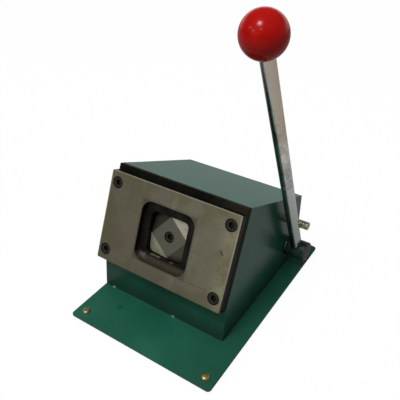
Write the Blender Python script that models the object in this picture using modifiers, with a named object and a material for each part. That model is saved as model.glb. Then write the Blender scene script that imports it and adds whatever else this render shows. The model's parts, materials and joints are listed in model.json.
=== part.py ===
"""Square badge cutter: a hand lever pushes a square punch out through a die.

Metres, +X to the right, +Y to the rear, +Z up. The origin lies under the
middle of the whole outline, on the surface that the feet stand on.

Two slanted frames carry most pieces. The face frame starts at the knee, the
line where the apron meets the leaning face: its X runs across, its Y up the
face and its Z out of the face. The lever frame sits on the shaft, with its Z
along the lever rod.
"""

import math

import bmesh
import bpy
from mathutils import Matrix, Vector

# Fits and cuts that all pieces share
SEAT_GAP = 0.0003
CUT_OVERRUN = 0.002
WELD_DISTANCE = 0.000002

# Base plate, feet and foot screws
BASE_WIDTH = 0.165
BASE_THICKNESS = 0.002
BASE_CORNER = 0.0035
FOOT_HEIGHT = 0.004
FOOT_RADIUS = 0.007
FOOT_TAPER = 0.0008
FOOT_INSET_X = 0.011
FOOT_INSET_Y = 0.0105
FOOT_SCREW_RADIUS = 0.002
FOOT_SCREW_BITE = 0.0015
FOOT_SCREW_HEAD_RADIUS = 0.004
FOOT_SCREW_HEAD_HEIGHT = 0.0026

# Housing
RIGHT_MARGIN = 0.019
FRONT_MARGIN = 0.0526
REAR_MARGIN = 0.0162
APRON_RISE = 0.0354
APRON_LEAN = 0.0048
FACE_LENGTH = 0.1002
FACE_TILT = math.radians(24.4)
SIDE_THICKNESS = 0.006
APRON_THICKNESS = 0.004
TOP_THICKNESS = 0.005
REAR_THICKNESS = 0.004
BOLSTER_THICKNESS = 0.012

# Guide plate, slot strips and die plate
CUT_SIZE = 0.042
CUT_CORNER = 0.005
OPENING_HEIGHT = 0.0472
WINDOW_SIZE = 0.060
WINDOW_CORNER = 0.011
WINDOW_DEPTH = 0.0052
BOLSTER_RELIEF = 0.0006
PLATE_SIDE_INSET = 0.0005
GUIDE_THICKNESS = 0.0047
SLOT_HEIGHT = 0.0012
STRIP_WIDTH = 0.016
DIE_HEIGHT = 0.0916
DIE_RISE = 0.0025
DIE_THICKNESS = 0.008
DIE_CORNER = 0.0012
DIE_SCREW_INSET_X = 0.0085
DIE_SCREW_INSET_Y = 0.01105
DIE_SCREW_RADIUS = 0.004
DIE_SCREW_LENGTH = 0.019
DIE_SCREW_HEAD_RADIUS = 0.0058
DIE_SCREW_HEAD_HEIGHT = 0.005
DIE_SCREW_HEAD_EDGE = 0.0005
DIE_SCREW_SOCKET = 0.005
DIE_SCREW_SOCKET_DEPTH = 0.003
DIE_SCREW_SINK = 0.0003

# Punch and its screw
RAM_STROKE = 0.010
PUNCH_LENGTH = 0.024
PUNCH_FLAT_REACH = 0.0142
PUNCH_FLAT_TURN = math.radians(6)
PUNCH_FACET_SLOPE = math.radians(11.5)
PUNCH_SCREW_RADIUS = 0.003
PUNCH_SCREW_LENGTH = 0.030
PUNCH_SCREW_HEAD_RADIUS = 0.005
PUNCH_SCREW_HEAD_HEIGHT = 0.006
PUNCH_SCREW_HEAD_EDGE = 0.0005
PUNCH_SCREW_SOCKET = 0.005
PUNCH_SCREW_SOCKET_DEPTH = 0.003
PUNCH_SCREW_SINK = 0.0008
PUNCH_COUNTERBORE_GAP = 0.0005

# Ram, its guide and the return spring
RAM_RADIUS = 0.014
RAM_SPIGOT_RADIUS = 0.006
RAM_SPIGOT_LENGTH = 0.004
PAD_RADIUS = 0.022
PAD_THICKNESS = 0.008
PAD_EDGE = 0.001
BAR_DEPTH = 0.034
BAR_THICKNESS = 0.024
BAR_HEIGHT = 0.048
RAM_BUSH_WALL = 0.003
RAM_BUSH_FLANGE = 0.003
RAM_BUSH_FLANGE_THICKNESS = 0.0025
SPRING_RADIUS = 0.0195
SPRING_WIRE_RADIUS = 0.0015
SPRING_END_SPACE = 0.0006
SPRING_SPACE = 0.0387

# Cross shaft, cam and bushes
LEVER_SWING = math.radians(60)
SHAFT_REAR_SPACE = 0.02472
SHAFT_DROP = 0.004
SHAFT_RADIUS = 0.009
SHAFT_END_RADIUS = 0.0065
SHAFT_END_SET = 0.0005
CAM_REACH = 0.020
CAM_WIDTH = 0.016
CAM_HUB_RADIUS = 0.016
KEY_WIDTH = 0.006
KEY_HEIGHT = 0.006
KEY_SEAT_DEPTH = 0.0035
BUSH_WALL = 0.003
BUSH_FLANGE = 0.003
BUSH_FLANGE_THICKNESS = 0.0025
COLLAR_RADIUS = 0.016
COLLAR_WIDTH = 0.010
SET_SCREW_RADIUS = 0.0025
SET_SCREW_SINK = 0.0005

# Lever
LEVER_LEAN = math.radians(22.7)
LEVER_OFFSET = 0.0105
HUB_RADIUS = 0.0105
HUB_LENGTH = 0.0225
HUB_CAP = 0.003
HUB_SIDE_GAP = 0.0005
HUB_EDGE = 0.001
HUB_SOCKET_DEPTH = 0.0025
HUB_FLOOR = 0.003
ROD_RADIUS = 0.006
ROD_END_RADIUS = 0.004
ROD_TOP_BITE = 0.013
ROD_TOP_EDGE = 0.001
BALL_RADIUS = 0.0175
BALL_DISTANCE = 0.280
BALL_FLAT_RADIUS = 0.007

# Stop pin behind the lever rod
STOP_DISTANCE = 0.036
STOP_PIN_RADIUS = 0.0042
STOP_PIN_LENGTH = 0.022
STOP_PIN_EDGE = 0.0006

# Counts of flats on round shapes
CORNER_STEPS = 4
SMALL_STEPS = 16
ROUND_STEPS = 24
LARGE_STEPS = 32
BALL_ARC_STEPS = 12
DOME_STEPS = 3
CAM_FLANK_STEPS = 14
CAM_HUB_STEPS = 16
SPRING_TURNS = 7
SPRING_END_TURNS = 1
SPRING_TURN_POINTS = 10

# Angles of the cam's outline
CAM_FLANK_LEAD = math.radians(10)
CAM_FLANK_TRAIL = math.radians(6)
CAM_HUB_START = math.radians(-20)
CAM_HUB_END = math.radians(-250)
SHADE_ANGLE = math.radians(35)

# Turns an outline drawn in XY, or a piece turned round Z, so that its Z runs across
SIDEWAYS = (math.pi / 2, 0, math.pi / 2)

# The stack along the ram, from the face inward, sets where the shaft is
UP_FACE = Vector((math.sin(FACE_TILT), math.cos(FACE_TILT)))
INTO_BODY = Vector((math.cos(FACE_TILT), -math.sin(FACE_TILT)))
BAR_FRONT = -BAR_DEPTH
BAR_BACK = BAR_FRONT - BAR_THICKNESS
PAD_FRONT = BAR_BACK - SPRING_SPACE
PAD_BACK = PAD_FRONT - PAD_THICKNESS
SHAFT_DEPTH = CAM_REACH + SEAT_GAP - PAD_BACK
SHAFT_HEIGHT = OPENING_HEIGHT - SHAFT_DROP
CAM_BASE_RADIUS = RAM_STROKE / LEVER_SWING

# The shaft sets the depth of the housing and the base
SHAFT_RUN = APRON_LEAN + UP_FACE.x * SHAFT_HEIGHT + INTO_BODY.x * SHAFT_DEPTH
BASE_DEPTH = FRONT_MARGIN + SHAFT_RUN + SHAFT_REAR_SPACE + REAR_MARGIN
BASE_TOP = FOOT_HEIGHT + BASE_THICKNESS
FRONT_Y = FRONT_MARGIN - BASE_DEPTH / 2
REAR_Y = BASE_DEPTH / 2 - REAR_MARGIN
KNEE = Vector((FRONT_Y + APRON_LEAN, BASE_TOP + APRON_RISE))

# Places across; the left side plate is flush with the base plate's left edge
BODY_WIDTH = BASE_WIDTH - RIGHT_MARGIN
BODY_SHIFT = -RIGHT_MARGIN / 2
LEVER_REACH = BODY_SHIFT + BODY_WIDTH / 2 + LEVER_OFFSET + BALL_RADIUS
BASE_X = (BASE_WIDTH / 2 - max(LEVER_REACH, BASE_WIDTH / 2)) / 2
BODY_X = BASE_X + BODY_SHIFT
RIGHT_FACE_X = BODY_X + BODY_WIDTH / 2
INNER_WIDTH = BODY_WIDTH - 2 * (SIDE_THICKNESS + SEAT_GAP)

# Guide plate, die plate and punch, measured out of the face
PLATE_WIDTH = BODY_WIDTH - 2 * PLATE_SIDE_INSET
GUIDE_TOP = SEAT_GAP + GUIDE_THICKNESS
DIE_BOTTOM = GUIDE_TOP + SLOT_HEIGHT
DIE_TOP = DIE_BOTTOM + DIE_THICKNESS
DIE_CENTRE = DIE_RISE + DIE_HEIGHT / 2
DIE_SCREW_SPACING_X = PLATE_WIDTH - 2 * DIE_SCREW_INSET_X
DIE_SCREW_SPACING_Y = DIE_HEIGHT - 2 * DIE_SCREW_INSET_Y
PUNCH_SIZE = CUT_SIZE - 2 * SEAT_GAP
PUNCH_FACE = DIE_TOP - RAM_STROKE
PUNCH_BACK = PUNCH_FACE - PUNCH_LENGTH
BUSH_RADIUS = SHAFT_RADIUS + SEAT_GAP + BUSH_WALL
RAM_BUSH_RADIUS = RAM_RADIUS + SEAT_GAP + RAM_BUSH_WALL


def section_point(up, depth):
    """The (Y, Z) point this far up the face from the knee and this deep behind it."""
    return KNEE + UP_FACE * up + INTO_BODY * depth


def depth_at(up, y):
    """How deep behind the face a line at this height up the face reaches a given Y."""
    return (y - KNEE.x - UP_FACE.x * up) / INTO_BODY.x


SHAFT_POINT = section_point(SHAFT_HEIGHT, SHAFT_DEPTH)


def start_scene():
    """Empty the scene and make one collection for the parts and one for the cutters."""
    for thing in list(bpy.data.objects):
        bpy.data.objects.remove(thing, do_unlink=True)
    folders = {}
    for name in ("square_badge_cutter", "cutters"):
        folders[name] = bpy.data.collections.new(name)
        bpy.context.scene.collection.children.link(folders[name])
    return folders["square_badge_cutter"], folders["cutters"]


PARTS, CUTTERS = start_scene()


def finish_material(name, colour, roughness, metallic):
    """A Principled material with one colour."""
    material = bpy.data.materials.new(name)
    material.use_nodes = True
    shader = material.node_tree.nodes["Principled BSDF"]
    shader.inputs["Base Color"].default_value = (*colour, 1)
    shader.inputs["Roughness"].default_value = roughness
    shader.inputs["Metallic"].default_value = metallic
    return material


def place(thing, parent, location, rotation):
    """Put an object in its parent's frame, or in the world where there is none."""
    thing.parent = parent
    thing.location = location
    thing.rotation_euler = rotation


def empty(name, location, rotation=(0, 0, 0), parent=None):
    """An empty that carries a frame for other pieces."""
    frame = bpy.data.objects.new(name, None)
    PARTS.objects.link(frame)
    place(frame, parent, location, rotation)
    return frame


def piece(name, mesh, look, parent=None, location=(0, 0, 0), rotation=(0, 0, 0)):
    """A named sub-part with its own material."""
    mesh.name = name
    mesh.shade_smooth()
    mesh.set_sharp_from_angle(angle=SHADE_ANGLE)
    mesh.materials.clear()
    mesh.materials.append(finish_material(name, *look))
    thing = bpy.data.objects.new(name, mesh)
    PARTS.objects.link(thing)
    place(thing, parent, location, rotation)
    return thing


def welded_mesh(thing):
    """The evaluated mesh of an object, welded and facing out; the object is removed."""
    bpy.context.view_layer.update()
    graph = bpy.context.evaluated_depsgraph_get()
    mesh = bpy.data.meshes.new_from_object(thing.evaluated_get(graph))
    bpy.data.objects.remove(thing, do_unlink=True)
    shape = bmesh.new()
    shape.from_mesh(mesh)
    bmesh.ops.remove_doubles(shape, verts=shape.verts, dist=WELD_DISTANCE)
    bmesh.ops.recalc_face_normals(shape, faces=shape.faces)
    shape.to_mesh(mesh)
    shape.free()
    return mesh


def box(width, depth, height, centre=(0, 0, 0)):
    """A box mesh round a centre."""
    shape = bmesh.new()
    scale = Matrix.Diagonal((width, depth, height, 1))
    bmesh.ops.create_cube(shape, size=1, matrix=Matrix.Translation(centre) @ scale)
    mesh = bpy.data.meshes.new("box")
    shape.to_mesh(mesh)
    shape.free()
    return mesh


def disc(radius, height, sides, centre=(0, 0, 0)):
    """A cylinder or prism mesh round Z, round a centre."""
    shape = bmesh.new()
    bmesh.ops.create_cone(shape, cap_ends=True, segments=sides, radius1=radius, radius2=radius,
                          depth=height, matrix=Matrix.Translation(centre))
    mesh = bpy.data.meshes.new("disc")
    shape.to_mesh(mesh)
    shape.free()
    return mesh


def sheet(outlines, thickness):
    """A flat mesh from closed XY outlines, centred on Z: outlines inside others are holes."""
    curve = bpy.data.curves.new("outline", "CURVE")
    curve.dimensions = "2D"
    curve.fill_mode = "BOTH"
    curve.extrude = thickness / 2
    for points in outlines:
        spline = curve.splines.new("POLY")
        spline.points.add(len(points) - 1)
        for knot, point in zip(spline.points, points):
            knot.co = (point[0], point[1], 0, 1)
        spline.use_cyclic_u = True
    guide = bpy.data.objects.new("outline", curve)
    PARTS.objects.link(guide)
    return welded_mesh(guide)


def turned(profile, steps, closed=False):
    """A mesh turned round Z from (radius, height) points that run down its outer side."""
    count = len(profile)
    edges = [(index, index + 1) for index in range(count - 1)]
    if closed:
        edges.append((count - 1, 0))
    mesh = bpy.data.meshes.new("profile")
    mesh.from_pydata([(radius, 0, height) for radius, height in profile], edges, [])
    blank = bpy.data.objects.new("profile", mesh)
    PARTS.objects.link(blank)
    turn = blank.modifiers.new("Turn", "SCREW")
    turn.axis = "Z"
    turn.steps = steps
    turn.render_steps = steps
    turn.use_merge_vertices = True
    turn.merge_threshold = WELD_DISTANCE
    return welded_mesh(blank)


def ring(outer, inner, bottom, top, steps):
    """A plain ring turned round Z."""
    return turned([(outer, top), (outer, bottom), (inner, bottom), (inner, top)], steps, True)


def cut(mesh, *cutters):
    """A mesh with other meshes cut out of it; the cutters stay as hidden wire guides."""
    blank = bpy.data.objects.new("blank", mesh)
    PARTS.objects.link(blank)
    for cutter_mesh in cutters:
        cutter = bpy.data.objects.new("cutter", cutter_mesh)
        CUTTERS.objects.link(cutter)
        cutter.hide_render = True
        cutter.display_type = "WIRE"
        boolean = blank.modifiers.new("Cut", "BOOLEAN")
        boolean.operation = "DIFFERENCE"
        boolean.solver = "EXACT"
        boolean.object = cutter
    return welded_mesh(blank)


def moved(mesh, matrix):
    """The same mesh after a move."""
    mesh.transform(matrix)
    return mesh


def copies(name, mesh, look, places, parent=None):
    """Numbered sub-parts that share one mesh, one at each place."""
    first = piece(name + "_1", mesh, look, parent, places[0])
    for number, spot in enumerate(places[1:], start=2):
        copy = bpy.data.objects.new(f"{name}_{number}", first.data)
        PARTS.objects.link(copy)
        place(copy, parent, spot, (0, 0, 0))


def circle(radius, centre, steps=ROUND_STEPS):
    """Outline of a round hole."""
    turns = [2 * math.pi * step / steps for step in range(steps)]
    return [(centre[0] + radius * math.cos(turn), centre[1] + radius * math.sin(turn))
            for turn in turns]


def rectangle(width, height, centre=(0, 0)):
    """Outline of a rectangle."""
    shares = ((-0.5, -0.5), (0.5, -0.5), (0.5, 0.5), (-0.5, 0.5))
    return [(centre[0] + width * across, centre[1] + height * up) for across, up in shares]


def rounded_rectangle(width, height, radius, centre=(0, 0)):
    """Outline of a rectangle with round corners."""
    points = []
    for quarter, (across, up) in enumerate(((1, 1), (-1, 1), (-1, -1), (1, -1))):
        middle_x = centre[0] + across * (width / 2 - radius)
        middle_y = centre[1] + up * (height / 2 - radius)
        for step in range(CORNER_STEPS + 1):
            turn = math.pi / 2 * (quarter + step / CORNER_STEPS)
            points.append((middle_x + radius * math.cos(turn), middle_y + radius * math.sin(turn)))
    return points


def corners(spacing_x, spacing_y, centre=(0, 0)):
    """The four corners of a rectangular pattern."""
    return [(centre[0] + across * spacing_x / 2, centre[1] + up * spacing_y / 2)
            for across in (-1, 1) for up in (-1, 1)]


def socket_screw(head_radius, head_height, head_edge, shank_radius, shank_length, socket, depth):
    """A socket head screw along Z, with the top of its head at zero."""
    profile = [
        (0, 0),
        (head_radius - head_edge, 0),
        (head_radius, -head_edge),
        (head_radius, -head_height),
        (shank_radius, -head_height),
        (shank_radius, -head_height - shank_length),
        (0, -head_height - shank_length),
    ]
    key_radius = socket / math.sqrt(3)
    key = disc(key_radius, depth + CUT_OVERRUN, 6, (0, 0, (CUT_OVERRUN - depth) / 2))
    return cut(turned(profile, ROUND_STEPS), key)


def set_screw(top, bottom):
    """A set screw along Z between two heights."""
    return disc(SET_SCREW_RADIUS, top - bottom, SMALL_STEPS, (0, 0, (top + bottom) / 2))


def flanged_bush(bore, wall, flange, flange_thickness, length):
    """A flanged bush along Z: the flange's outer face at zero, the sleeve below it."""
    profile = [
        (bore + wall + flange, 0),
        (bore + wall + flange, -flange_thickness),
        (bore + wall, -flange_thickness),
        (bore + wall, -flange_thickness - length),
        (bore, -flange_thickness - length),
        (bore, 0),
    ]
    return turned(profile, ROUND_STEPS, True)


# Colours, roughness and metallic values of the finishes
GREEN_ENAMEL = ((0.012, 0.075, 0.05), 0.18, 0.0)
BLACK_OXIDE = ((0.012, 0.012, 0.013), 0.45, 0.6)
GROUND_STEEL = ((0.33, 0.31, 0.27), 0.35, 1.0)
BRIGHT_STEEL = ((0.45, 0.44, 0.42), 0.3, 1.0)
CHROME = ((0.62, 0.63, 0.65), 0.08, 1.0)
BRONZE = ((0.45, 0.28, 0.12), 0.35, 1.0)
BRASS = ((0.6, 0.42, 0.16), 0.25, 1.0)
RED_PLASTIC = ((0.5, 0.008, 0.006), 0.1, 0.0)
BLACK_RUBBER = ((0.015, 0.015, 0.015), 0.8, 0.0)
SPRING_STEEL = ((0.25, 0.25, 0.26), 0.35, 1.0)


def foot_places():
    """Where the feet stand, from the base plate's middle."""
    return corners(BASE_WIDTH - 2 * FOOT_INSET_X, BASE_DEPTH - 2 * FOOT_INSET_Y)


def make_base():
    """Base plate, rubber feet and the screws that hold them."""
    outlines = [rounded_rectangle(BASE_WIDTH, BASE_DEPTH, BASE_CORNER)]
    outlines += [circle(FOOT_SCREW_RADIUS + SEAT_GAP, spot, SMALL_STEPS) for spot in foot_places()]
    piece("base_plate", sheet(outlines, BASE_THICKNESS), GREEN_ENAMEL,
          location=(BASE_X, 0, FOOT_HEIGHT + BASE_THICKNESS / 2))

    foot_top = FOOT_HEIGHT - SEAT_GAP
    hole = FOOT_SCREW_RADIUS + SEAT_GAP
    hole_floor = foot_top - FOOT_SCREW_BITE - SEAT_GAP
    foot = turned([
        (hole, foot_top),
        (FOOT_RADIUS, foot_top),
        (FOOT_RADIUS - FOOT_TAPER, 0),
        (0, 0),
        (0, hole_floor),
        (hole, hole_floor),
    ], SMALL_STEPS, True)
    spots = [(BASE_X + across, along, 0) for across, along in foot_places()]
    copies("rubber_foot", foot, BLACK_RUBBER, spots)

    head = []
    for step in range(DOME_STEPS + 1):
        turn = math.pi / 2 * step / DOME_STEPS
        head.append((FOOT_SCREW_HEAD_RADIUS * math.sin(turn), FOOT_SCREW_HEAD_HEIGHT * math.cos(turn)))
    shank = SEAT_GAP + BASE_THICKNESS + SEAT_GAP + FOOT_SCREW_BITE
    screw = turned(head + [(FOOT_SCREW_RADIUS, 0), (FOOT_SCREW_RADIUS, -shank), (0, -shank)], SMALL_STEPS)
    spots = [(BASE_X + across, along, BASE_TOP + SEAT_GAP) for across, along in foot_places()]
    copies("foot_screw", screw, BRASS, spots)


def stop_point():
    """The stop pin's centre in the (Y, Z) section: behind the rod, clear of it by the seat gap."""
    along = Vector((-math.sin(LEVER_LEAN), math.cos(LEVER_LEAN)))
    behind = Vector((math.cos(LEVER_LEAN), math.sin(LEVER_LEAN)))
    return SHAFT_POINT + along * STOP_DISTANCE + behind * (ROD_RADIUS + SEAT_GAP + STOP_PIN_RADIUS)


def make_housing():
    """The welded housing: two sides, apron, top, rear and the thick bolster behind the tooling."""
    floor = BASE_TOP + SEAT_GAP
    bolster_back = BOLSTER_THICKNESS + SEAT_GAP
    side_outline = [
        (FRONT_Y, floor),
        section_point(-SEAT_GAP, 0),
        section_point(-SEAT_GAP, bolster_back),
        section_point(FACE_LENGTH, bolster_back),
        section_point(FACE_LENGTH, depth_at(FACE_LENGTH, REAR_Y)),
        (REAR_Y, floor),
    ]
    bush_hole = circle(BUSH_RADIUS + SEAT_GAP, SHAFT_POINT, LARGE_STEPS)
    pin_hole = circle(STOP_PIN_RADIUS + SEAT_GAP, stop_point())
    side_x = (BODY_WIDTH - SIDE_THICKNESS) / 2
    piece("left_side_plate", sheet([side_outline, bush_hole], SIDE_THICKNESS), GREEN_ENAMEL,
          location=(BODY_X - side_x, 0, 0), rotation=SIDEWAYS)
    piece("right_side_plate", sheet([side_outline, bush_hole, pin_hole], SIDE_THICKNESS), GREEN_ENAMEL,
          location=(BODY_X + side_x, 0, 0), rotation=SIDEWAYS)

    apron_outline = [
        (FRONT_Y, floor),
        section_point(-SEAT_GAP, 0),
        section_point(-SEAT_GAP, APRON_THICKNESS / INTO_BODY.x),
        (FRONT_Y + APRON_THICKNESS, floor),
    ]
    top_outline = [
        section_point(FACE_LENGTH, bolster_back),
        section_point(FACE_LENGTH, depth_at(FACE_LENGTH, REAR_Y)),
        section_point(FACE_LENGTH - TOP_THICKNESS, depth_at(FACE_LENGTH - TOP_THICKNESS, REAR_Y)),
        section_point(FACE_LENGTH - TOP_THICKNESS, bolster_back),
    ]
    under_top = FACE_LENGTH - TOP_THICKNESS - SEAT_GAP
    rear_front_y = REAR_Y - REAR_THICKNESS
    rear_outline = [
        (REAR_Y, floor),
        section_point(under_top, depth_at(under_top, REAR_Y)),
        section_point(under_top, depth_at(under_top, rear_front_y)),
        (rear_front_y, floor),
    ]
    for name, outline in (("front_apron", apron_outline), ("top_plate", top_outline),
                          ("rear_plate", rear_outline)):
        piece(name, sheet([outline], INNER_WIDTH), GREEN_ENAMEL, location=(BODY_X, 0, 0), rotation=SIDEWAYS)


def screw_places():
    """Where the die screws go, in the face frame."""
    return corners(DIE_SCREW_SPACING_X, DIE_SCREW_SPACING_Y, (0, DIE_CENTRE))


def opening_outline(size):
    """The square cutting opening with round corners, for a given size."""
    corner = CUT_CORNER + (size - CUT_SIZE) / 2
    return rounded_rectangle(size, size, corner, (0, OPENING_HEIGHT))


def make_tooling(face):
    """Bolster, guide plate, slot strips, die plate and the screws that clamp them."""
    screw_holes = [circle(DIE_SCREW_RADIUS + SEAT_GAP, spot, SMALL_STEPS) for spot in screw_places()]
    face_middle = (0, FACE_LENGTH / 2)

    relief = opening_outline(CUT_SIZE + 2 * BOLSTER_RELIEF)
    bolster_edge = rectangle(BODY_WIDTH, FACE_LENGTH, face_middle)
    bolster = sheet([bolster_edge, relief] + screw_holes, BOLSTER_THICKNESS)
    piece("bolster_plate", bolster, GREEN_ENAMEL, face, (0, 0, -BOLSTER_THICKNESS / 2))

    opening = opening_outline(CUT_SIZE)
    guide_edge = rectangle(PLATE_WIDTH, FACE_LENGTH, face_middle)
    guide = sheet([guide_edge, opening] + screw_holes, GUIDE_THICKNESS)
    piece("guide_plate", guide, BLACK_OXIDE, face, (0, 0, GUIDE_TOP - GUIDE_THICKNESS / 2))

    strip_x = (PLATE_WIDTH - STRIP_WIDTH) / 2
    strip_holes = [circle(DIE_SCREW_RADIUS + SEAT_GAP, (DIE_SCREW_SPACING_X / 2 - strip_x, up), SMALL_STEPS)
                   for up in (-DIE_SCREW_SPACING_Y / 2, DIE_SCREW_SPACING_Y / 2)]
    strip_thickness = SLOT_HEIGHT - 2 * SEAT_GAP
    for name, side, turn in (("left_slot_strip", -1, math.pi), ("right_slot_strip", 1, 0)):
        strip = sheet([rectangle(STRIP_WIDTH, DIE_HEIGHT)] + strip_holes, strip_thickness)
        spot = (side * strip_x, DIE_CENTRE, GUIDE_TOP + SLOT_HEIGHT / 2)
        piece(name, strip, BLACK_OXIDE, face, spot, (0, 0, turn))

    die_edge = rounded_rectangle(PLATE_WIDTH, DIE_HEIGHT, DIE_CORNER, (0, DIE_CENTRE))
    blank = moved(sheet([die_edge, opening] + screw_holes, DIE_THICKNESS),
                  Matrix.Translation((0, 0, DIE_THICKNESS / 2)))
    # The wide window stops short of the die's back, so a thin land is left to cut with
    window_outline = rounded_rectangle(WINDOW_SIZE, WINDOW_SIZE, WINDOW_CORNER, (0, OPENING_HEIGHT))
    window_middle = DIE_THICKNESS + (CUT_OVERRUN - WINDOW_DEPTH) / 2
    window = moved(sheet([window_outline], WINDOW_DEPTH + CUT_OVERRUN),
                   Matrix.Translation((0, 0, window_middle)))
    bore_depth = DIE_SCREW_SINK + DIE_SCREW_HEAD_HEIGHT + SEAT_GAP
    bore_middle = DIE_THICKNESS + (CUT_OVERRUN - bore_depth) / 2
    bore_radius = DIE_SCREW_HEAD_RADIUS + SEAT_GAP
    bores = [disc(bore_radius, bore_depth + CUT_OVERRUN, ROUND_STEPS, (*spot, bore_middle))
             for spot in screw_places()]
    piece("die_plate", cut(blank, window, *bores), GROUND_STEEL, face, (0, 0, DIE_BOTTOM))

    screw = socket_screw(DIE_SCREW_HEAD_RADIUS, DIE_SCREW_HEAD_HEIGHT, DIE_SCREW_HEAD_EDGE,
                         DIE_SCREW_RADIUS, DIE_SCREW_LENGTH, DIE_SCREW_SOCKET, DIE_SCREW_SOCKET_DEPTH)
    spots = [(*spot, DIE_TOP - DIE_SCREW_SINK) for spot in screw_places()]
    copies("die_screw", screw, BLACK_OXIDE, spots, face)


def facet_cutter(turn):
    """A box over one corner of the punch, tilted so that its floor drops from the flat outward."""
    half = PUNCH_SIZE / 2
    cover = box(PUNCH_SIZE, PUNCH_SIZE, PUNCH_SIZE, (0, half, half))
    tilt = Matrix.Rotation(-PUNCH_FACET_SLOPE, 4, "X")
    reach = Matrix.Translation((0, PUNCH_FLAT_REACH, 0))
    return moved(cover, Matrix.Rotation(turn, 4, "Z") @ reach @ tilt)


def make_punch(ram_axis):
    """The punch: a square block with a diamond flat, four corner facets and a screw."""
    outline = rounded_rectangle(PUNCH_SIZE, PUNCH_SIZE, CUT_CORNER - SEAT_GAP)
    blank = moved(sheet([outline], PUNCH_LENGTH), Matrix.Translation((0, 0, -PUNCH_LENGTH / 2)))
    facets = [facet_cutter(math.pi / 4 + quarter * math.pi / 2 + PUNCH_FLAT_TURN) for quarter in range(4)]
    bore_depth = PUNCH_SCREW_SINK + PUNCH_SCREW_HEAD_HEIGHT + SEAT_GAP
    bore = disc(PUNCH_SCREW_HEAD_RADIUS + PUNCH_COUNTERBORE_GAP, bore_depth + CUT_OVERRUN, ROUND_STEPS,
                (0, 0, (CUT_OVERRUN - bore_depth) / 2))
    hole = disc(PUNCH_SCREW_RADIUS + SEAT_GAP, PUNCH_LENGTH + 2 * CUT_OVERRUN, SMALL_STEPS,
                (0, 0, -PUNCH_LENGTH / 2))
    piece("punch", cut(blank, *facets, bore, hole), BRIGHT_STEEL, ram_axis, (0, 0, PUNCH_FACE))
    screw = socket_screw(PUNCH_SCREW_HEAD_RADIUS, PUNCH_SCREW_HEAD_HEIGHT, PUNCH_SCREW_HEAD_EDGE,
                         PUNCH_SCREW_RADIUS, PUNCH_SCREW_LENGTH,
                         PUNCH_SCREW_SOCKET, PUNCH_SCREW_SOCKET_DEPTH)
    piece("punch_screw", screw, BLACK_OXIDE, ram_axis, (0, 0, PUNCH_FACE - PUNCH_SCREW_SINK))


def make_ram(ram_axis):
    """The round ram behind the punch and the hard pad that the cam pushes on."""
    front = PUNCH_BACK - SEAT_GAP
    back = PAD_FRONT + SEAT_GAP
    spigot_end = back - RAM_SPIGOT_LENGTH
    tap_radius = PUNCH_SCREW_RADIUS + SEAT_GAP
    screw_end = PUNCH_FACE - PUNCH_SCREW_SINK - PUNCH_SCREW_HEAD_HEIGHT - PUNCH_SCREW_LENGTH
    tap_floor = screw_end - SEAT_GAP
    ram = turned([
        (tap_radius, front),
        (RAM_RADIUS, front),
        (RAM_RADIUS, back),
        (RAM_SPIGOT_RADIUS, back),
        (RAM_SPIGOT_RADIUS, spigot_end),
        (0, spigot_end),
        (0, tap_floor),
        (tap_radius, tap_floor),
    ], LARGE_STEPS, True)
    piece("ram", ram, BRIGHT_STEEL, ram_axis)

    socket_radius = RAM_SPIGOT_RADIUS + SEAT_GAP
    socket_floor = spigot_end - SEAT_GAP
    pad = turned([
        (socket_radius, PAD_FRONT),
        (PAD_RADIUS - PAD_EDGE, PAD_FRONT),
        (PAD_RADIUS, PAD_FRONT - PAD_EDGE),
        (PAD_RADIUS, PAD_BACK + PAD_EDGE),
        (PAD_RADIUS - PAD_EDGE, PAD_BACK),
        (0, PAD_BACK),
        (0, socket_floor),
        (socket_radius, socket_floor),
    ], LARGE_STEPS, True)
    piece("ram_pad", pad, BRIGHT_STEEL, ram_axis)


def make_guide_bar(ram_axis):
    """The cross bar between the side plates, with the bronze bush that guides the ram."""
    bar_middle = (BAR_FRONT + BAR_BACK) / 2
    bore = circle(RAM_BUSH_RADIUS + SEAT_GAP, (0, 0), LARGE_STEPS)
    bar = sheet([rectangle(INNER_WIDTH, BAR_HEIGHT), bore], BAR_THICKNESS)
    piece("ram_guide_bar", bar, BRIGHT_STEEL, ram_axis, (0, 0, bar_middle))
    bush = flanged_bush(RAM_RADIUS + SEAT_GAP, RAM_BUSH_WALL, RAM_BUSH_FLANGE,
                        RAM_BUSH_FLANGE_THICKNESS, SEAT_GAP + BAR_THICKNESS)
    flange_face = BAR_FRONT + SEAT_GAP + RAM_BUSH_FLANGE_THICKNESS
    piece("ram_bush", bush, BRONZE, ram_axis, (0, 0, flange_face))


def spring_points():
    """Centre line of the return spring: close end turns, even turns between."""
    front = BAR_BACK - SEAT_GAP - SPRING_WIRE_RADIUS
    back = PAD_FRONT + SEAT_GAP + SPRING_WIRE_RADIUS
    end_pitch = 2 * SPRING_WIRE_RADIUS + SPRING_END_SPACE
    free_turns = SPRING_TURNS - 2 * SPRING_END_TURNS
    free_pitch = (front - back - 2 * SPRING_END_TURNS * end_pitch) / free_turns
    points = []
    for step in range(SPRING_TURNS * SPRING_TURN_POINTS + 1):
        turn = step / SPRING_TURN_POINTS
        close = min(turn, SPRING_END_TURNS) + max(turn - SPRING_TURNS + SPRING_END_TURNS, 0)
        height = front - close * end_pitch - (turn - close) * free_pitch
        angle = 2 * math.pi * turn
        points.append((SPRING_RADIUS * math.cos(angle), SPRING_RADIUS * math.sin(angle), height))
    return points


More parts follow.
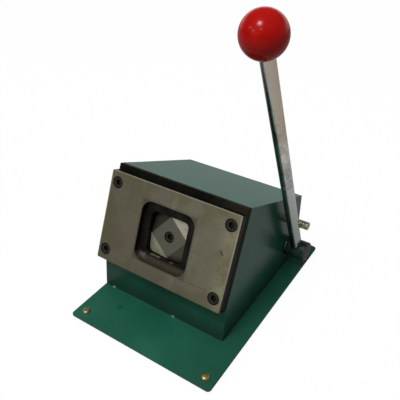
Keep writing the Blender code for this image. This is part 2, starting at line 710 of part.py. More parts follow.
def make_spring(ram_axis):
    """The compression spring round the ram, between the cross bar and the pad."""
    points = spring_points()
    pairs = [(near, far) for index, near in enumerate(points)
             for far in points[index + SPRING_TURN_POINTS - 1:]]
    least = min(math.dist(near, far) for near, far in pairs) - 2 * SPRING_WIRE_RADIUS
    print("least gap between the spring's turns, in metres:", round(least, 5))
    curve = bpy.data.curves.new("return_spring", "CURVE")
    curve.dimensions = "3D"
    curve.bevel_depth = SPRING_WIRE_RADIUS
    curve.bevel_resolution = 1
    curve.use_fill_caps = True
    spline = curve.splines.new("POLY")
    spline.points.add(len(points) - 1)
    for knot, point in zip(spline.points, points):
        knot.co = (*point, 1)
    wire = bpy.data.objects.new("return_spring", curve)
    PARTS.objects.link(wire)
    piece("return_spring", welded_mesh(wire), SPRING_STEEL, ram_axis)


def cam_outline():
    """The cam seen along the shaft, as (up the face, out of the face) points at rest.

    The flank is an involute of the base circle, so a flat pad moves in step with
    the angle: it has moved by the base radius times the turn.
    """
    start = CAM_REACH / CAM_BASE_RADIUS
    points = []
    for step in range(CAM_FLANK_STEPS + 1):
        share = step / CAM_FLANK_STEPS
        turn = -CAM_FLANK_LEAD + share * (CAM_FLANK_LEAD + LEVER_SWING + CAM_FLANK_TRAIL)
        unwound = start + turn
        outward = CAM_BASE_RADIUS * (unwound * math.cos(turn) - math.sin(turn))
        upward = CAM_BASE_RADIUS * (math.cos(turn) + unwound * math.sin(turn))
        points.append((upward, outward))
    for step in range(CAM_HUB_STEPS + 1):
        turn = CAM_HUB_END + (CAM_HUB_START - CAM_HUB_END) * step / CAM_HUB_STEPS
        points.append((CAM_HUB_RADIUS * math.sin(turn), CAM_HUB_RADIUS * math.cos(turn)))
    return points


def make_shaft(shaft_axis):
    """The cross shaft with its key, cam, bushes and collars, along the shaft frame's X."""
    left_end = -BODY_WIDTH / 2 + SHAFT_END_SET
    step_x = BODY_WIDTH / 2 + SEAT_GAP
    right_end = BODY_WIDTH / 2 + HUB_SIDE_GAP + HUB_LENGTH - HUB_CAP - SEAT_GAP
    shaft = turned([
        (0, right_end),
        (SHAFT_END_RADIUS, right_end),
        (SHAFT_END_RADIUS, step_x),
        (SHAFT_RADIUS, step_x),
        (SHAFT_RADIUS, left_end),
        (0, left_end),
    ], ROUND_STEPS)
    shaft = moved(shaft, Matrix.Rotation(math.pi / 2, 4, "Y"))

    key_floor = SHAFT_RADIUS - KEY_SEAT_DEPTH
    key_length = CAM_WIDTH
    seat_height = KEY_HEIGHT + 2 * SEAT_GAP
    seat_middle = key_floor + KEY_HEIGHT / 2
    seat_in_shaft = box(key_length + 2 * SEAT_GAP, KEY_WIDTH + 2 * SEAT_GAP, seat_height)
    seat_in_shaft = moved(seat_in_shaft, Matrix.Translation((0, 0, seat_middle)))
    # The key lies on the side of the cam's nose, up the face
    to_nose = Matrix.Rotation(-math.pi / 2, 4, "X")
    seat_in_shaft = moved(seat_in_shaft, to_nose)
    lean = Matrix.Rotation(LEVER_LEAN - (math.pi / 2 - FACE_TILT), 4, "X")
    rod_hole = disc(ROD_END_RADIUS + SEAT_GAP, 2 * (SHAFT_RADIUS + CUT_OVERRUN), SMALL_STEPS)
    rod_hole = moved(rod_hole, Matrix.Translation((BODY_WIDTH / 2 + LEVER_OFFSET, 0, 0)) @ lean)
    piece("main_shaft", cut(shaft, seat_in_shaft, rod_hole), BRIGHT_STEEL, shaft_axis)

    key = moved(box(key_length, KEY_WIDTH, KEY_HEIGHT, (0, 0, seat_middle)), to_nose)
    piece("cam_key", key, BRIGHT_STEEL, shaft_axis)

    bore = circle(SHAFT_RADIUS + SEAT_GAP, (0, 0), LARGE_STEPS)
    blank = sheet([cam_outline(), bore], CAM_WIDTH)
    keyway = box(seat_height, KEY_WIDTH + 2 * SEAT_GAP, CAM_WIDTH + 2 * CUT_OVERRUN, (seat_middle, 0, 0))
    piece("cam", cut(blank, keyway), BRIGHT_STEEL, shaft_axis, rotation=SIDEWAYS)

    inner_x = INNER_WIDTH / 2 + SEAT_GAP
    for name, side in (("left_bush", -1), ("right_bush", 1)):
        bush = flanged_bush(SHAFT_RADIUS + SEAT_GAP, BUSH_WALL, BUSH_FLANGE, BUSH_FLANGE_THICKNESS,
                            SEAT_GAP + SIDE_THICKNESS)
        flange_face = side * (inner_x - SEAT_GAP - BUSH_FLANGE_THICKNESS)
        piece(name, bush, BRONZE, shaft_axis, (flange_face, 0, 0), (0, -side * math.pi / 2, 0))

    collar_x = inner_x - BUSH_FLANGE_THICKNESS - 2 * SEAT_GAP - COLLAR_WIDTH / 2
    collar = ring(COLLAR_RADIUS, SHAFT_RADIUS + SEAT_GAP, -COLLAR_WIDTH / 2, COLLAR_WIDTH / 2, ROUND_STEPS)
    collar = moved(collar, Matrix.Rotation(math.pi / 2, 4, "Y"))
    screw_hole = disc(SET_SCREW_RADIUS + SEAT_GAP, COLLAR_RADIUS, SMALL_STEPS, (0, 0, COLLAR_RADIUS))
    collar = cut(collar, moved(screw_hole, to_nose))
    spots = [(-collar_x, 0, 0), (collar_x, 0, 0)]
    copies("shaft_collar", collar, BRIGHT_STEEL, spots, shaft_axis)
    screw = set_screw(COLLAR_RADIUS - SET_SCREW_SINK, SHAFT_RADIUS + SEAT_GAP)
    copies("collar_screw", moved(screw, to_nose), BLACK_OXIDE, spots, shaft_axis)


def make_lever(lever_frame):
    """Hub, rod and ball, with Z along the rod and X along the shaft."""
    hub_start = HUB_SIDE_GAP - LEVER_OFFSET
    hub_end = hub_start + HUB_LENGTH
    bore = SHAFT_END_RADIUS + SEAT_GAP
    hub = turned([
        (0, hub_end),
        (HUB_RADIUS - HUB_EDGE, hub_end),
        (HUB_RADIUS, hub_end - HUB_EDGE),
        (HUB_RADIUS, hub_start + HUB_EDGE),
        (HUB_RADIUS - HUB_EDGE, hub_start),
        (bore, hub_start),
        (bore, hub_end - HUB_CAP),
        (0, hub_end - HUB_CAP),
    ], LARGE_STEPS)
    hub = moved(hub, Matrix.Rotation(math.pi / 2, 4, "Y"))
    socket_floor = HUB_RADIUS - HUB_SOCKET_DEPTH
    socket = disc(ROD_RADIUS + SEAT_GAP, HUB_RADIUS, ROUND_STEPS, (0, 0, socket_floor + HUB_RADIUS / 2))
    rod_end = HUB_FLOOR - HUB_RADIUS
    hole_length = HUB_RADIUS - rod_end + SEAT_GAP
    cross_hole = disc(ROD_END_RADIUS + SEAT_GAP, hole_length, SMALL_STEPS,
                      (0, 0, HUB_RADIUS - hole_length / 2))
    screw_hole = disc(SET_SCREW_RADIUS + SEAT_GAP, HUB_RADIUS, SMALL_STEPS, (0, 0, HUB_RADIUS))
    # The set screw comes in from behind, square to the rod
    from_behind = Matrix.Rotation(-math.pi / 2, 4, "X")
    hub = cut(hub, socket, cross_hole, moved(screw_hole, from_behind))
    piece("lever_hub", hub, GREEN_ENAMEL, lever_frame)

    screw = set_screw(HUB_RADIUS - SET_SCREW_SINK, SHAFT_END_RADIUS + SEAT_GAP)
    piece("hub_screw", moved(screw, from_behind), BLACK_OXIDE, lever_frame)

    ball_flat = BALL_DISTANCE - math.sqrt(BALL_RADIUS ** 2 - BALL_FLAT_RADIUS ** 2)
    shoulder = ball_flat - SEAT_GAP
    top = ball_flat + ROD_TOP_BITE
    rod_foot = socket_floor + SEAT_GAP
    rod = turned([
        (0, top),
        (ROD_END_RADIUS, top),
        (ROD_END_RADIUS, shoulder),
        (ROD_RADIUS - ROD_TOP_EDGE, shoulder),
        (ROD_RADIUS, shoulder - ROD_TOP_EDGE),
        (ROD_RADIUS, rod_foot),
        (ROD_END_RADIUS, rod_foot),
        (ROD_END_RADIUS, rod_end),
        (0, rod_end),
    ], ROUND_STEPS)
    piece("lever_rod", rod, CHROME, lever_frame)

    hole = ROD_END_RADIUS + SEAT_GAP
    hole_top = top + SEAT_GAP
    flat_turn = math.pi - math.asin(BALL_FLAT_RADIUS / BALL_RADIUS)
    arc = []
    for step in range(BALL_ARC_STEPS + 1):
        turn = flat_turn * step / BALL_ARC_STEPS
        arc.append((BALL_RADIUS * math.sin(turn), BALL_DISTANCE + BALL_RADIUS * math.cos(turn)))
    ball = turned(arc + [(hole, ball_flat), (hole, hole_top), (0, hole_top)], ROUND_STEPS)
    piece("ball_knob", ball, RED_PLASTIC, lever_frame)


def make_stop_pin():
    """The short pin in the right side plate that the lever rod rests against."""
    pin = turned([
        (0, STOP_PIN_LENGTH),
        (STOP_PIN_RADIUS - STOP_PIN_EDGE, STOP_PIN_LENGTH),
        (STOP_PIN_RADIUS, STOP_PIN_LENGTH - STOP_PIN_EDGE),
        (STOP_PIN_RADIUS, -SIDE_THICKNESS),
        (0, -SIDE_THICKNESS),
    ], ROUND_STEPS)
    centre = stop_point()
    piece("stop_pin", pin, BRASS, None, (RIGHT_FACE_X, centre.x, centre.y), SIDEWAYS)


def build():
    """Make every sub-part."""
    upright = math.pi / 2 - FACE_TILT
    face = empty("face_frame", (BODY_X, KNEE.x, KNEE.y), (upright, 0, 0))
    ram_axis = empty("ram_axis", (0, OPENING_HEIGHT, 0), parent=face)
    shaft_axis = empty("shaft_axis", (0, SHAFT_HEIGHT, -SHAFT_DEPTH), parent=face)
    lever_frame = empty("lever_frame", (RIGHT_FACE_X + LEVER_OFFSET, SHAFT_POINT.x, SHAFT_POINT.y),
                        (LEVER_LEAN, 0, 0))
    make_base()
    make_housing()
    make_tooling(face)
    make_punch(ram_axis)
    make_ram(ram_axis)
    make_guide_bar(ram_axis)
    make_spring(ram_axis)
    make_shaft(shaft_axis)
    make_lever(lever_frame)
    make_stop_pin()


build()
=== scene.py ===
import json
import math
import random

import bmesh
import bpy
from mathutils import Matrix, Vector
from mathutils.bvhtree import BVHTree


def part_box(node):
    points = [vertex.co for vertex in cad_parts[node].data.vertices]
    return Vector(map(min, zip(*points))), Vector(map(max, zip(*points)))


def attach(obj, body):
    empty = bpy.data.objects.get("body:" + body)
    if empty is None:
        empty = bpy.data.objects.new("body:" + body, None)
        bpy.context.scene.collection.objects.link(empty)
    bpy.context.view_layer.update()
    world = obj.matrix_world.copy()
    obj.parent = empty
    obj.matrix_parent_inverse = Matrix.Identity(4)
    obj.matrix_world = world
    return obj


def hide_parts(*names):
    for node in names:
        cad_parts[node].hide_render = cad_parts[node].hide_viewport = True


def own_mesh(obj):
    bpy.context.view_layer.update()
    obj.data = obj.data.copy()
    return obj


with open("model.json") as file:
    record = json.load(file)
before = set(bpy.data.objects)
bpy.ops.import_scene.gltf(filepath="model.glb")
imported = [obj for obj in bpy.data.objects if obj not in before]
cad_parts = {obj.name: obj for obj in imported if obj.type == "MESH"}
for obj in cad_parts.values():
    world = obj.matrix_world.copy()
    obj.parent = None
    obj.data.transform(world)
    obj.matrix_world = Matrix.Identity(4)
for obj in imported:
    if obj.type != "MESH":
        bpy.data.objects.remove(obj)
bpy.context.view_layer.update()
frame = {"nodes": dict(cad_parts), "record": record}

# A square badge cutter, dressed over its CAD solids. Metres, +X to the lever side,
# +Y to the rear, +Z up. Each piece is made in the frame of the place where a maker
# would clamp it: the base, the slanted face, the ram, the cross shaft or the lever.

# Housing. Its slanted face starts at the knee, where the apron meets it
FACE_TILT = math.radians(24.4)
KNEE = Vector((-0.014, -0.0576, 0.0414))
BODY_LEFT, BODY_RIGHT = -0.087, 0.059
BODY_FRONT, BODY_REAR = -0.0624, 0.0988
BODY_FLOOR = 0.006
INK_SPOT = (-0.0515, -0.0815, 0.006)

# Plates on the face, measured out of it, and across and up it
FACE_LENGTH = 0.1002
GUIDE_TOP = 0.005
GUIDE_THICKNESS = 0.0047
GUIDE_CORNER = 0.0004
DIE_BOTTOM = 0.0062
DIE_THICKNESS = 0.008
DIE_TOP = DIE_BOTTOM + DIE_THICKNESS
DIE_WIDTH = 0.145
DIE_HEIGHT = 0.0916
DIE_CENTRE = 0.0483
DIE_CORNER = 0.0012
CUT_SIZE = 0.042
CUT_CORNER = 0.005
OPENING_HEIGHT = 0.0472
WINDOW_SIZE = 0.060
WINDOW_CORNER = 0.011
WINDOW_DEPTH = 0.0052

# Screws of the die and the punch
DIE_SCREW_PLACES = [(across * 0.064, DIE_CENTRE + up * 0.03475)
                    for across in (-1, 1) for up in (-1, 1)]
DIE_SCREW_SINK = 0.0003
DIE_SCREW_HEAD = 0.0058
DIE_SCREW_BORE = DIE_SCREW_HEAD + 0.0003
DIE_BORE_DEPTH = 0.0056
DIE_SCREW_HOLE = 0.0043
PUNCH_SCREW_SINK = 0.0008
KEY_WIDTH = 0.005
KEY_DEPTH = 0.003
KEY_BEVEL = 0.0004

# Punch and return spring, the spring measured along the ram from the opening
STROKE = 0.010
PUNCH_SIZE = 0.0414
PUNCH_CORNER = 0.0047
PUNCH_FACE = DIE_TOP - STROKE
PUNCH_LENGTH = 0.024
PUNCH_BORE = 0.0055
PUNCH_BORE_DEPTH = 0.0071
PUNCH_HOLE = 0.0033
FLAT_REACH = 0.0142
FLAT_TURN = math.radians(6)
FACET_SLOPE = math.radians(11.5)
SPRING_FRONT, SPRING_BACK = -0.0583, -0.0964
COIL_RADIUS = 0.0195
COIL_WIRE = 0.0015
COIL_TURNS = 7
END_PITCH = 0.0036

# Shaft and lever
SHAFT_HEIGHT = 0.0432
SHAFT_DEPTH = 0.125
SHAFT_LEFT_END = -0.0725
SHAFT_END_RADIUS = 0.0065
BUSH_FACE = 0.0639
LEVER_LEAN = math.radians(22.7)
LEVER_OFFSET = 0.0105
LEVER_POINT = Vector((BODY_RIGHT + LEVER_OFFSET, 0.0740808, 0.0291035))
HUB_GAP = 0.0005
HUB_RADIUS = 0.0105
HUB_LENGTH = 0.0225
HUB_CAP = 0.003
BORE_PLAY = 0.0003
ROD_RADIUS = 0.006
ROD_FOOT = 0.0083
TENON_RADIUS = 0.004
TENON_LENGTH = 0.013
TENON_END = -0.0075
GROOVE_HEIGHT = 0.117
BALL_RADIUS = 0.0175
BALL_DISTANCE = 0.280
BALL_FLAT_RADIUS = 0.007
STOP_PIN_RADIUS = 0.0042

# Widths of the rounded edges, and how near two plates make a seam
BASE_EDGE = 0.0007
PLATE_EDGE = 0.0006
GUIDE_EDGE = 0.00025
DIE_EDGE = 0.00035
PUNCH_EDGE = 0.00018
SHAFT_EDGE = 0.0005
SEAM_REACH = 0.0007

# The ripple of a weld, and the sides of its section
WELD_RIPPLE = 0.0022
WELD_SIDES = 10

# Mesh tolerances
WELD_DISTANCE = 0.00001
SHARP_ANGLE = math.radians(32)
FLAT_ANGLE = math.radians(1)
FACET_ANGLE = math.radians(7)
SAME_PLANE_COSINE = 0.9999
SAME_PLANE_GAP = 0.000005
CUT_OVERRUN = 0.002

WHITE_TONE = (1.0, 1.0, 1.0)


def slide(x=0.0, y=0.0, z=0.0):
    return Matrix.Translation((x, y, z))


def spun(angle, axis="Z"):
    return Matrix.Rotation(angle, 4, axis)


# Frames: the places that pieces are made in
HERE = Matrix.Identity(4)
FACE = slide(*KNEE) @ spun(math.pi / 2 - FACE_TILT, "X")
RAM = FACE @ slide(y=OPENING_HEIGHT)
SHAFT = FACE @ slide(y=SHAFT_HEIGHT, z=-SHAFT_DEPTH)
LEVER = slide(*LEVER_POINT) @ spun(LEVER_LEAN, "X")
BALL_CENTRE = LEVER @ Vector((0, 0, BALL_DISTANCE))
ACROSS = spun(math.pi / 2, "Y")


class Wire:
    """One output of a node; sums with it add Math nodes to its board."""

    def __init__(self, board, socket):
        self.board = board
        self.socket = socket

    def maths(self, operation, *values):
        settings = {"operation": operation}
        return self.board.add("ShaderNodeMath", settings, dict(enumerate(values)))

    def __add__(self, other):
        return self.maths("ADD", self, other)

    def __sub__(self, other):
        return self.maths("SUBTRACT", self, other)

    def __rsub__(self, other):
        return self.maths("SUBTRACT", other, self)

    def __mul__(self, other):
        return self.maths("MULTIPLY", self, other)

    __radd__ = __add__
    __rmul__ = __mul__

    def size(self):
        """The value without its sign."""
        return self.maths("ABSOLUTE", self)

    def larger(self, other):
        return self.maths("MAXIMUM", self, other)


class Board:
    """A node tree that nodes are added to one by one."""

    def __init__(self, tree):
        self.tree = tree

    def add(self, kind, settings=None, sockets=None, output=0):
        """Add a node: its settings first, then the values or links of its sockets."""
        node = self.tree.nodes.new(kind)
        for name, value in (settings or {}).items():
            setattr(node, name, value)
        for name, value in (sockets or {}).items():
            self.plug(node.inputs[name], value)
        return Wire(self, node.outputs[output])

    def plug(self, socket, value):
        """Give a socket a link or a plain value."""
        if isinstance(value, Wire):
            self.tree.links.new(value.socket, socket)
        elif isinstance(value, tuple) and socket.type == "RGBA":
            socket.default_value = (*value, 1)
        else:
            socket.default_value = value

    def outputs(self, kind, sockets=None):
        """All outputs of a new node, by name."""
        node = self.add(kind, None, sockets).socket.node
        return {socket.name: Wire(self, socket) for socket in node.outputs}

    def split(self, vector):
        """The three numbers of a vector."""
        return self.outputs("ShaderNodeSeparateXYZ", {0: vector}).values()

    def vectors(self, operation, first, second=(0.0, 0.0, 0.0), output="Vector"):
        """One Vector Math node."""
        sockets = {0: first, 1: second}
        return self.add("ShaderNodeVectorMath", {"operation": operation}, sockets, output)

    def ease(self, value, low, high):
        """0 below low, 1 above high, smooth between; low above high turns it round."""
        turned_round = low > high
        sockets = {"Value": value, "From Min": min(low, high), "From Max": max(low, high),
                   "To Min": float(turned_round), "To Max": float(not turned_round)}
        return self.add("ShaderNodeMapRange", {"interpolation_type": "SMOOTHSTEP"}, sockets)

    def near(self, value, middle, reach, full, wobble=None):
        """1 where a value is closer than full to a middle, 0 where it is past reach."""
        distance = (value - middle).size()
        return self.ease(distance + wobble if wobble else distance, reach, full)

    def blend(self, share, first, second):
        """A colour between two."""
        return self.add("ShaderNodeMix", {"data_type": "RGBA"}, {0: share, 6: first, 7: second}, 2)

    def layers(self, colour, *coats):
        """A colour with others laid over it one by one, each as (share, tone)."""
        for share, tone in coats:
            colour = self.blend(share, colour, tone)
        return colour


class Finish(Board):
    """A material: the plain values of its shader first, and wires after."""

    def __init__(self, name, **values):
        self.material = bpy.data.materials.new(name)
        self.material.use_nodes = True
        super().__init__(self.material.node_tree)
        self.shader = self.tree.nodes["Principled BSDF"]
        self.set(**values)

    def set(self, **values):
        """Set or link the shader's sockets; an underscore stands for a space."""
        for name, value in values.items():
            self.plug(self.shader.inputs[name.replace("_", " ")], value)

    def place(self):
        """Where a point is, in the frame of its own piece."""
        return self.add("ShaderNodeTexCoord", output="Object")

    def cloud(self, scale, detail=2.0, roughness=0.5):
        """Soft noise between about 0.3 and 0.7; three scales draw it out into lines."""
        place = self.place()
        if isinstance(scale, tuple):
            place, scale = self.vectors("MULTIPLY", place, scale), 1.0
        sockets = {"Vector": place, "Scale": scale, "Detail": detail, "Roughness": roughness}
        return self.add("ShaderNodeTexNoise", sockets=sockets)

    def mottle(self, cloud, low, high, first, second):
        """Two tones mixed by a cloud: the first where it is low, the second where high."""
        return self.blend(self.ease(cloud, low, high), first, second)

    def lines(self, scales, light, dark):
        """The lines that grinding or turning leaves, as a colour and as a height."""
        fine_scales = tuple(3.1 * scale for scale in scales)
        grain = self.cloud(scales, 4, 0.65) * 0.6 + self.cloud(fine_scales) * 0.4
        return self.mottle(grain, 0.32, 0.68, dark, light), grain

    def done(self, colour, roughness, height, depth):
        """The material, its surface raised by a height between 0 and 1 times a depth."""
        bump = self.add("ShaderNodeBump", sockets={"Distance": depth, "Height": height})
        self.set(Base_Color=colour, Roughness=roughness, Normal=bump)
        return self.material


def green_enamel(name, ink_spot=None):
    """Dark green gloss enamel, brushed on by hand: soft brush marks, dust nibs and some grime.

    With an ink spot it is the base: a blue-black stain, and painted shade to the right and along
    its edges. Without one it is a wall, with painted shade darkening it near the base.
    """
    paint = Finish(name, IOR=1.36)
    across, _, height = paint.split(paint.place())
    patches = paint.cloud(16)
    brushing = paint.cloud((60.0, 300.0, 300.0), 3)
    dust = paint.ease(paint.cloud(900, 1), 0.75, 0.79)
    grime = paint.ease(paint.cloud(45, 5, 0.7), 0.6, 0.8)
    coats = [(brushing * 0.3, (0.018, 0.125, 0.08)), (grime * 0.5, (0.012, 0.032, 0.021)),
             (dust * 0.3, (0.2, 0.25, 0.22))]
    if ink_spot:
        away = paint.vectors("DISTANCE", paint.place(), ink_spot, "Value") + patches * 0.004
        # Painted shade: the base darker to the right, beside the right wall
        right = paint.ease(across + patches * 0.02, 0.03, 0.095)
        # Painted shade: the edges of the plate, below its top, darker
        edges = paint.ease(height, 0.0056, 0.0052)
        coats += [(paint.ease(away, 0.0062, 0.0032) * 0.55, (0.008, 0.03, 0.07)),
                  (right * 0.5, (0.011, 0.055, 0.034)), (edges * 0.6, (0.006, 0.035, 0.022))]
    else:
        # Painted shade: the walls darker towards the base
        low = paint.ease(height + patches * 0.02, 0.062, 0.014)
        coats += [(low * 0.8, (0.01, 0.03, 0.018))]
    green = paint.mottle(patches, 0.35, 0.65, (0.0105, 0.087, 0.053), (0.016, 0.111, 0.07))
    roughness = 0.16 + patches * 0.12 + grime * 0.2 + brushing * 0.06 + dust * 0.3
    height = brushing * 0.6 + patches * 0.8 + dust * 0.4
    return paint.done(paint.layers(green, *coats), roughness, height, 0.00012)


def hub_enamel():
    """The same enamel on the hub, much darker, worn lighter in patches, and paler on its cap as a
    painted reflection.
    """
    paint = Finish("hub_enamel", IOR=1.4)
    outward, _, _ = paint.split(paint.place())
    patches = paint.cloud(130, 4, 0.6)
    wear_and_glint = paint.ease(paint.cloud(320, 4, 0.65), 0.6, 0.72)
    # Painted reflection: the cap paler than the rest of the hub
    cap_reflection = paint.ease(outward + patches * 0.001, 0.0112, 0.0124)
    green = paint.mottle(patches, 0.35, 0.65, (0.004, 0.014, 0.009), (0.011, 0.04, 0.027))
    colour = paint.layers(green, (wear_and_glint * 0.4, (0.06, 0.075, 0.064)),
                          (cap_reflection * 0.6, (0.06, 0.07, 0.062)))
    roughness = 0.42 + patches * 0.16 + wear_and_glint * 0.1
    return paint.done(colour, roughness, patches * 0.7 + wear_and_glint * 0.3, 0.00006)


def bare_weld():
    """The front welds: grey oxide and spatter through a thin coat of paint."""
    bead = Finish("bare_weld", IOR=1.45)
    scale = bead.ease(bead.cloud(900, 3, 0.6), 0.4, 0.62)
    colour = bead.blend(scale, (0.07, 0.17, 0.12), (0.3, 0.38, 0.33))
    return bead.done(colour, 0.4 + scale * 0.2, scale, 0.0001)


def black_oxide():
    """Black oxide on tool steel: nearly black, browner to the right, with oil and scuffs."""
    black = Finish("black_oxide", IOR=1.17)
    across, _, _ = black.split(black.place())
    patches = black.cloud(60, 4, 0.6)
    scuffs = black.ease(black.cloud((150.0, 900.0, 900.0), 3), 0.62, 0.78)
    brown = black.ease(across + patches * 0.03, 0.045, 0.078)
    colour = black.layers(
        black.mottle(patches, 0.35, 0.7, (0.0022, 0.0022, 0.0016), (0.006, 0.0055, 0.004)),
        (brown * 0.75, (0.022, 0.018, 0.013)), (scuffs * 0.3, (0.035, 0.032, 0.026)))
    roughness = 0.42 + patches * 0.25 - scuffs * 0.08
    return black.done(colour, roughness, patches * 0.7 + scuffs * 0.3, 0.00003)


def screw_black():
    """Blacked screws: an oily brown face worn by the key, black at the side and in the socket."""
    black = Finish("screw_black", IOR=1.3)
    _, _, out = black.split(black.place())
    flat_place = black.vectors("MULTIPLY", black.place(), (1.0, 1.0, 0.0))
    from_axis = black.vectors("LENGTH", flat_place, output="Value")
    patches = black.cloud(320, 4, 0.6)
    face = (black.ease(out, -0.0007, -0.0002)
            * black.ease(from_axis + patches * 0.0006, 0.0056, 0.0046))
    oil_and_dark_reflection = black.mottle(patches, 0.35, 0.65, (0.012, 0.011, 0.007), (0.03, 0.027, 0.018))
    colour = black.blend(face, (0.004, 0.004, 0.003), oil_and_dark_reflection)
    return black.done(colour, 0.34 + patches * 0.2, patches, 0.00003)


def ground_die():
    """The die plate: its front ground, then dulled by oil and hands, and lighter to the right by
    painted reflections; the rest is black oxide, with chips and painted glints in the window.
    """
    steel = Finish("ground_die", Metallic=0.85)
    across, up, out = steel.split(steel.place())
    ground, grain = steel.lines((22.0, 420.0, 420.0), (0.212, 0.198, 0.146), (0.186, 0.172, 0.122))
    stains = steel.cloud(30, 5, 0.62)
    soot = steel.cloud(80, 3)
    bare = steel.ease(out, DIE_THICKNESS - 0.0016, DIE_THICKNESS - 0.0009)
    from_window = across.size().larger((up - OPENING_HEIGHT).size())
    from_middle = ((across.size() * (2 / DIE_WIDTH))
                   .larger((up - DIE_CENTRE).size() * (2 / DIE_HEIGHT)))

    # Tones and films of the ground front, from the first to the last; the lighter right side and
    # far right are painted reflections
    right_side_reflection = steel.ease(across + up * 0.2, -0.015, 0.06)
    far_right_reflection = steel.ease(across, 0.052, 0.071)
    streaks = steel.ease(steel.cloud((95.0, 14.0, 40.0), 3), 0.54, 0.7)
    near_edge = steel.ease(from_middle, 0.72, 1.0)
    olive = steel.ease(stains + near_edge * 0.1, 0.46, 0.66)
    rust = steel.ease(steel.cloud(17, 4, 0.6), 0.52, 0.7)
    specks = steel.ease(steel.cloud(420, 3, 0.6) + right_side_reflection * 0.05, 0.66, 0.76)
    sooty = steel.ease(from_window + stains * 0.004, 0.0345, 0.031)
    low_middle = steel.ease(up, 0.019, 0.009) * steel.ease(across.size(), 0.045, 0.025)
    worn_edge = steel.ease(from_middle, 0.982, 0.995) * steel.ease(up, 0.02, 0.05)
    scribed = (steel.near(up, 0.01725, 0.00034, 0.00014)
               * steel.ease(across, 0.026, 0.029) * steel.ease(across, 0.0565, 0.054))
    dent = (steel.ease((across - 0.0612 + (up - 0.0563) * 0.8).size(), 0.0019, 0.0008)
            * steel.near(up, 0.0563, 0.0026, 0.0012))
    front = steel.layers(
        ground,
        (right_side_reflection * 0.35, (0.27, 0.258, 0.182)), (far_right_reflection * 0.7, (0.38, 0.36, 0.245)),
        (streaks * 0.4, (0.31, 0.3, 0.245)), (olive * 0.55, (0.145, 0.13, 0.065)),
        (rust * 0.45, (0.165, 0.13, 0.09)), (specks * 0.55, (0.075, 0.062, 0.03)),
        (sooty * 0.5, (0.04, 0.035, 0.026)), (low_middle * 0.4, (0.13, 0.122, 0.085)),
        (worn_edge * 0.8, (0.46, 0.44, 0.35)), (scribed * 0.7, (0.045, 0.038, 0.026)),
        (dent * 0.75, (0.055, 0.046, 0.022)))

    # In the window: a dusty ledge, a painted glint on one lower corner, and chips with painted
    # glints along the bottom of the cutting edge
    ledge = steel.ease(up, 0.026, 0.021) * steel.ease(from_window, 0.0318, 0.0308)
    # Painted glint: a pale patch in the window's lower-left corner
    wear_and_glint = (steel.near(across, -0.0228, 0.0078, 0.0035, soot * 0.004)
              * steel.near(up, 0.0222, 0.0062, 0.0024, soot * 0.003)
              * steel.ease(steel.cloud(330, 4, 0.65), 0.4, 0.56))
    # Chips and painted glints along the lower cutting edge
    chips_and_glints = (steel.near(from_window, CUT_SIZE / 2, 0.0013, 0.0009, soot * 0.0012)
             * steel.ease(up, 0.0272, 0.0266)
             * (steel.near(across, -0.0085, 0.0065, 0.004)
                + steel.near(across, 0.0108, 0.003, 0.0012))
             * steel.ease(steel.cloud(330, 3), 0.36, 0.5))
    rest = steel.layers(
        steel.mottle(soot, 0.4, 0.7, (0.008, 0.0075, 0.006), (0.024, 0.02, 0.014)),
        (ledge * 0.75, (0.12, 0.1, 0.07)), (wear_and_glint * 0.8, (0.27, 0.25, 0.25)),
        (chips_and_glints, (0.32, 0.3, 0.21)))

    roughness = 0.42 + grain * 0.12 - bare * 0.06 + olive * 0.08
    height = grain * 0.3 - scribed * 0.6 - dent * 0.8 + stains * 0.3
    return steel.done(steel.blend(bare, rest, front), roughness, height, 0.00004)


def ground_punch():
    """The punch: each facet ground by hand in its own direction, and given its own tone as a
    painted reflection.
    """
    steel = Finish("ground_punch")
    across, up, out = steel.split(steel.place())
    ground, grain = steel.lines((240.0, 900.0, 900.0), (0.19, 0.182, 0.142), (0.155, 0.148, 0.112))
    turn = math.pi / 4 + FLAT_TURN
    high = up * math.cos(turn) - across * math.sin(turn)
    right = up * math.sin(turn) + across * math.cos(turn)
    front = steel.ease(out, -0.006, -0.0055)

    def facet(distance, side):
        return steel.ease(distance, side * FLAT_REACH, side * (FLAT_REACH + 0.0002)) * front

    # Painted reflections: the upper-right and lower-left facets light, the other two dark; the
    # lower-left one also less metallic
    low_left = facet(right, -1)
    facet_reflections = [(facet(right, 1), (0.39, 0.375, 0.305)), (facet(high, 1), (0.085, 0.083, 0.06)),
             (facet(high, -1), (0.115, 0.105, 0.074)), (low_left, (0.42, 0.4, 0.28))]
    facets = [(mask, steel.blend(grain, tone, tuple(0.8 * part for part in tone)))
              for mask, tone in facet_reflections]
    stains = steel.ease(steel.cloud(120, 4, 0.6), 0.52, 0.7)
    steel.set(Metallic=0.85 - low_left * 0.45)
    colour = steel.layers(ground, *facets, (stains * 0.3, (0.14, 0.12, 0.075)))
    return steel.done(colour, 0.3 + grain * 0.1 + stains * 0.08, grain, 0.00003)


def turned_steel():
    """Turned or milled steel with an oil film, its tool lines square to X."""
    steel = Finish("turned_steel", Metallic=1.0)
    lined, grain = steel.lines((1500.0, 90.0, 90.0), (0.34, 0.33, 0.3), (0.23, 0.22, 0.2))
    film = steel.ease(steel.cloud(70, 3, 0.6), 0.45, 0.7)
    colour = steel.blend(film * 0.5, lined, (0.16, 0.135, 0.095))
    return steel.done(colour, 0.26 + grain * 0.12 + film * 0.12, grain, 0.00002)


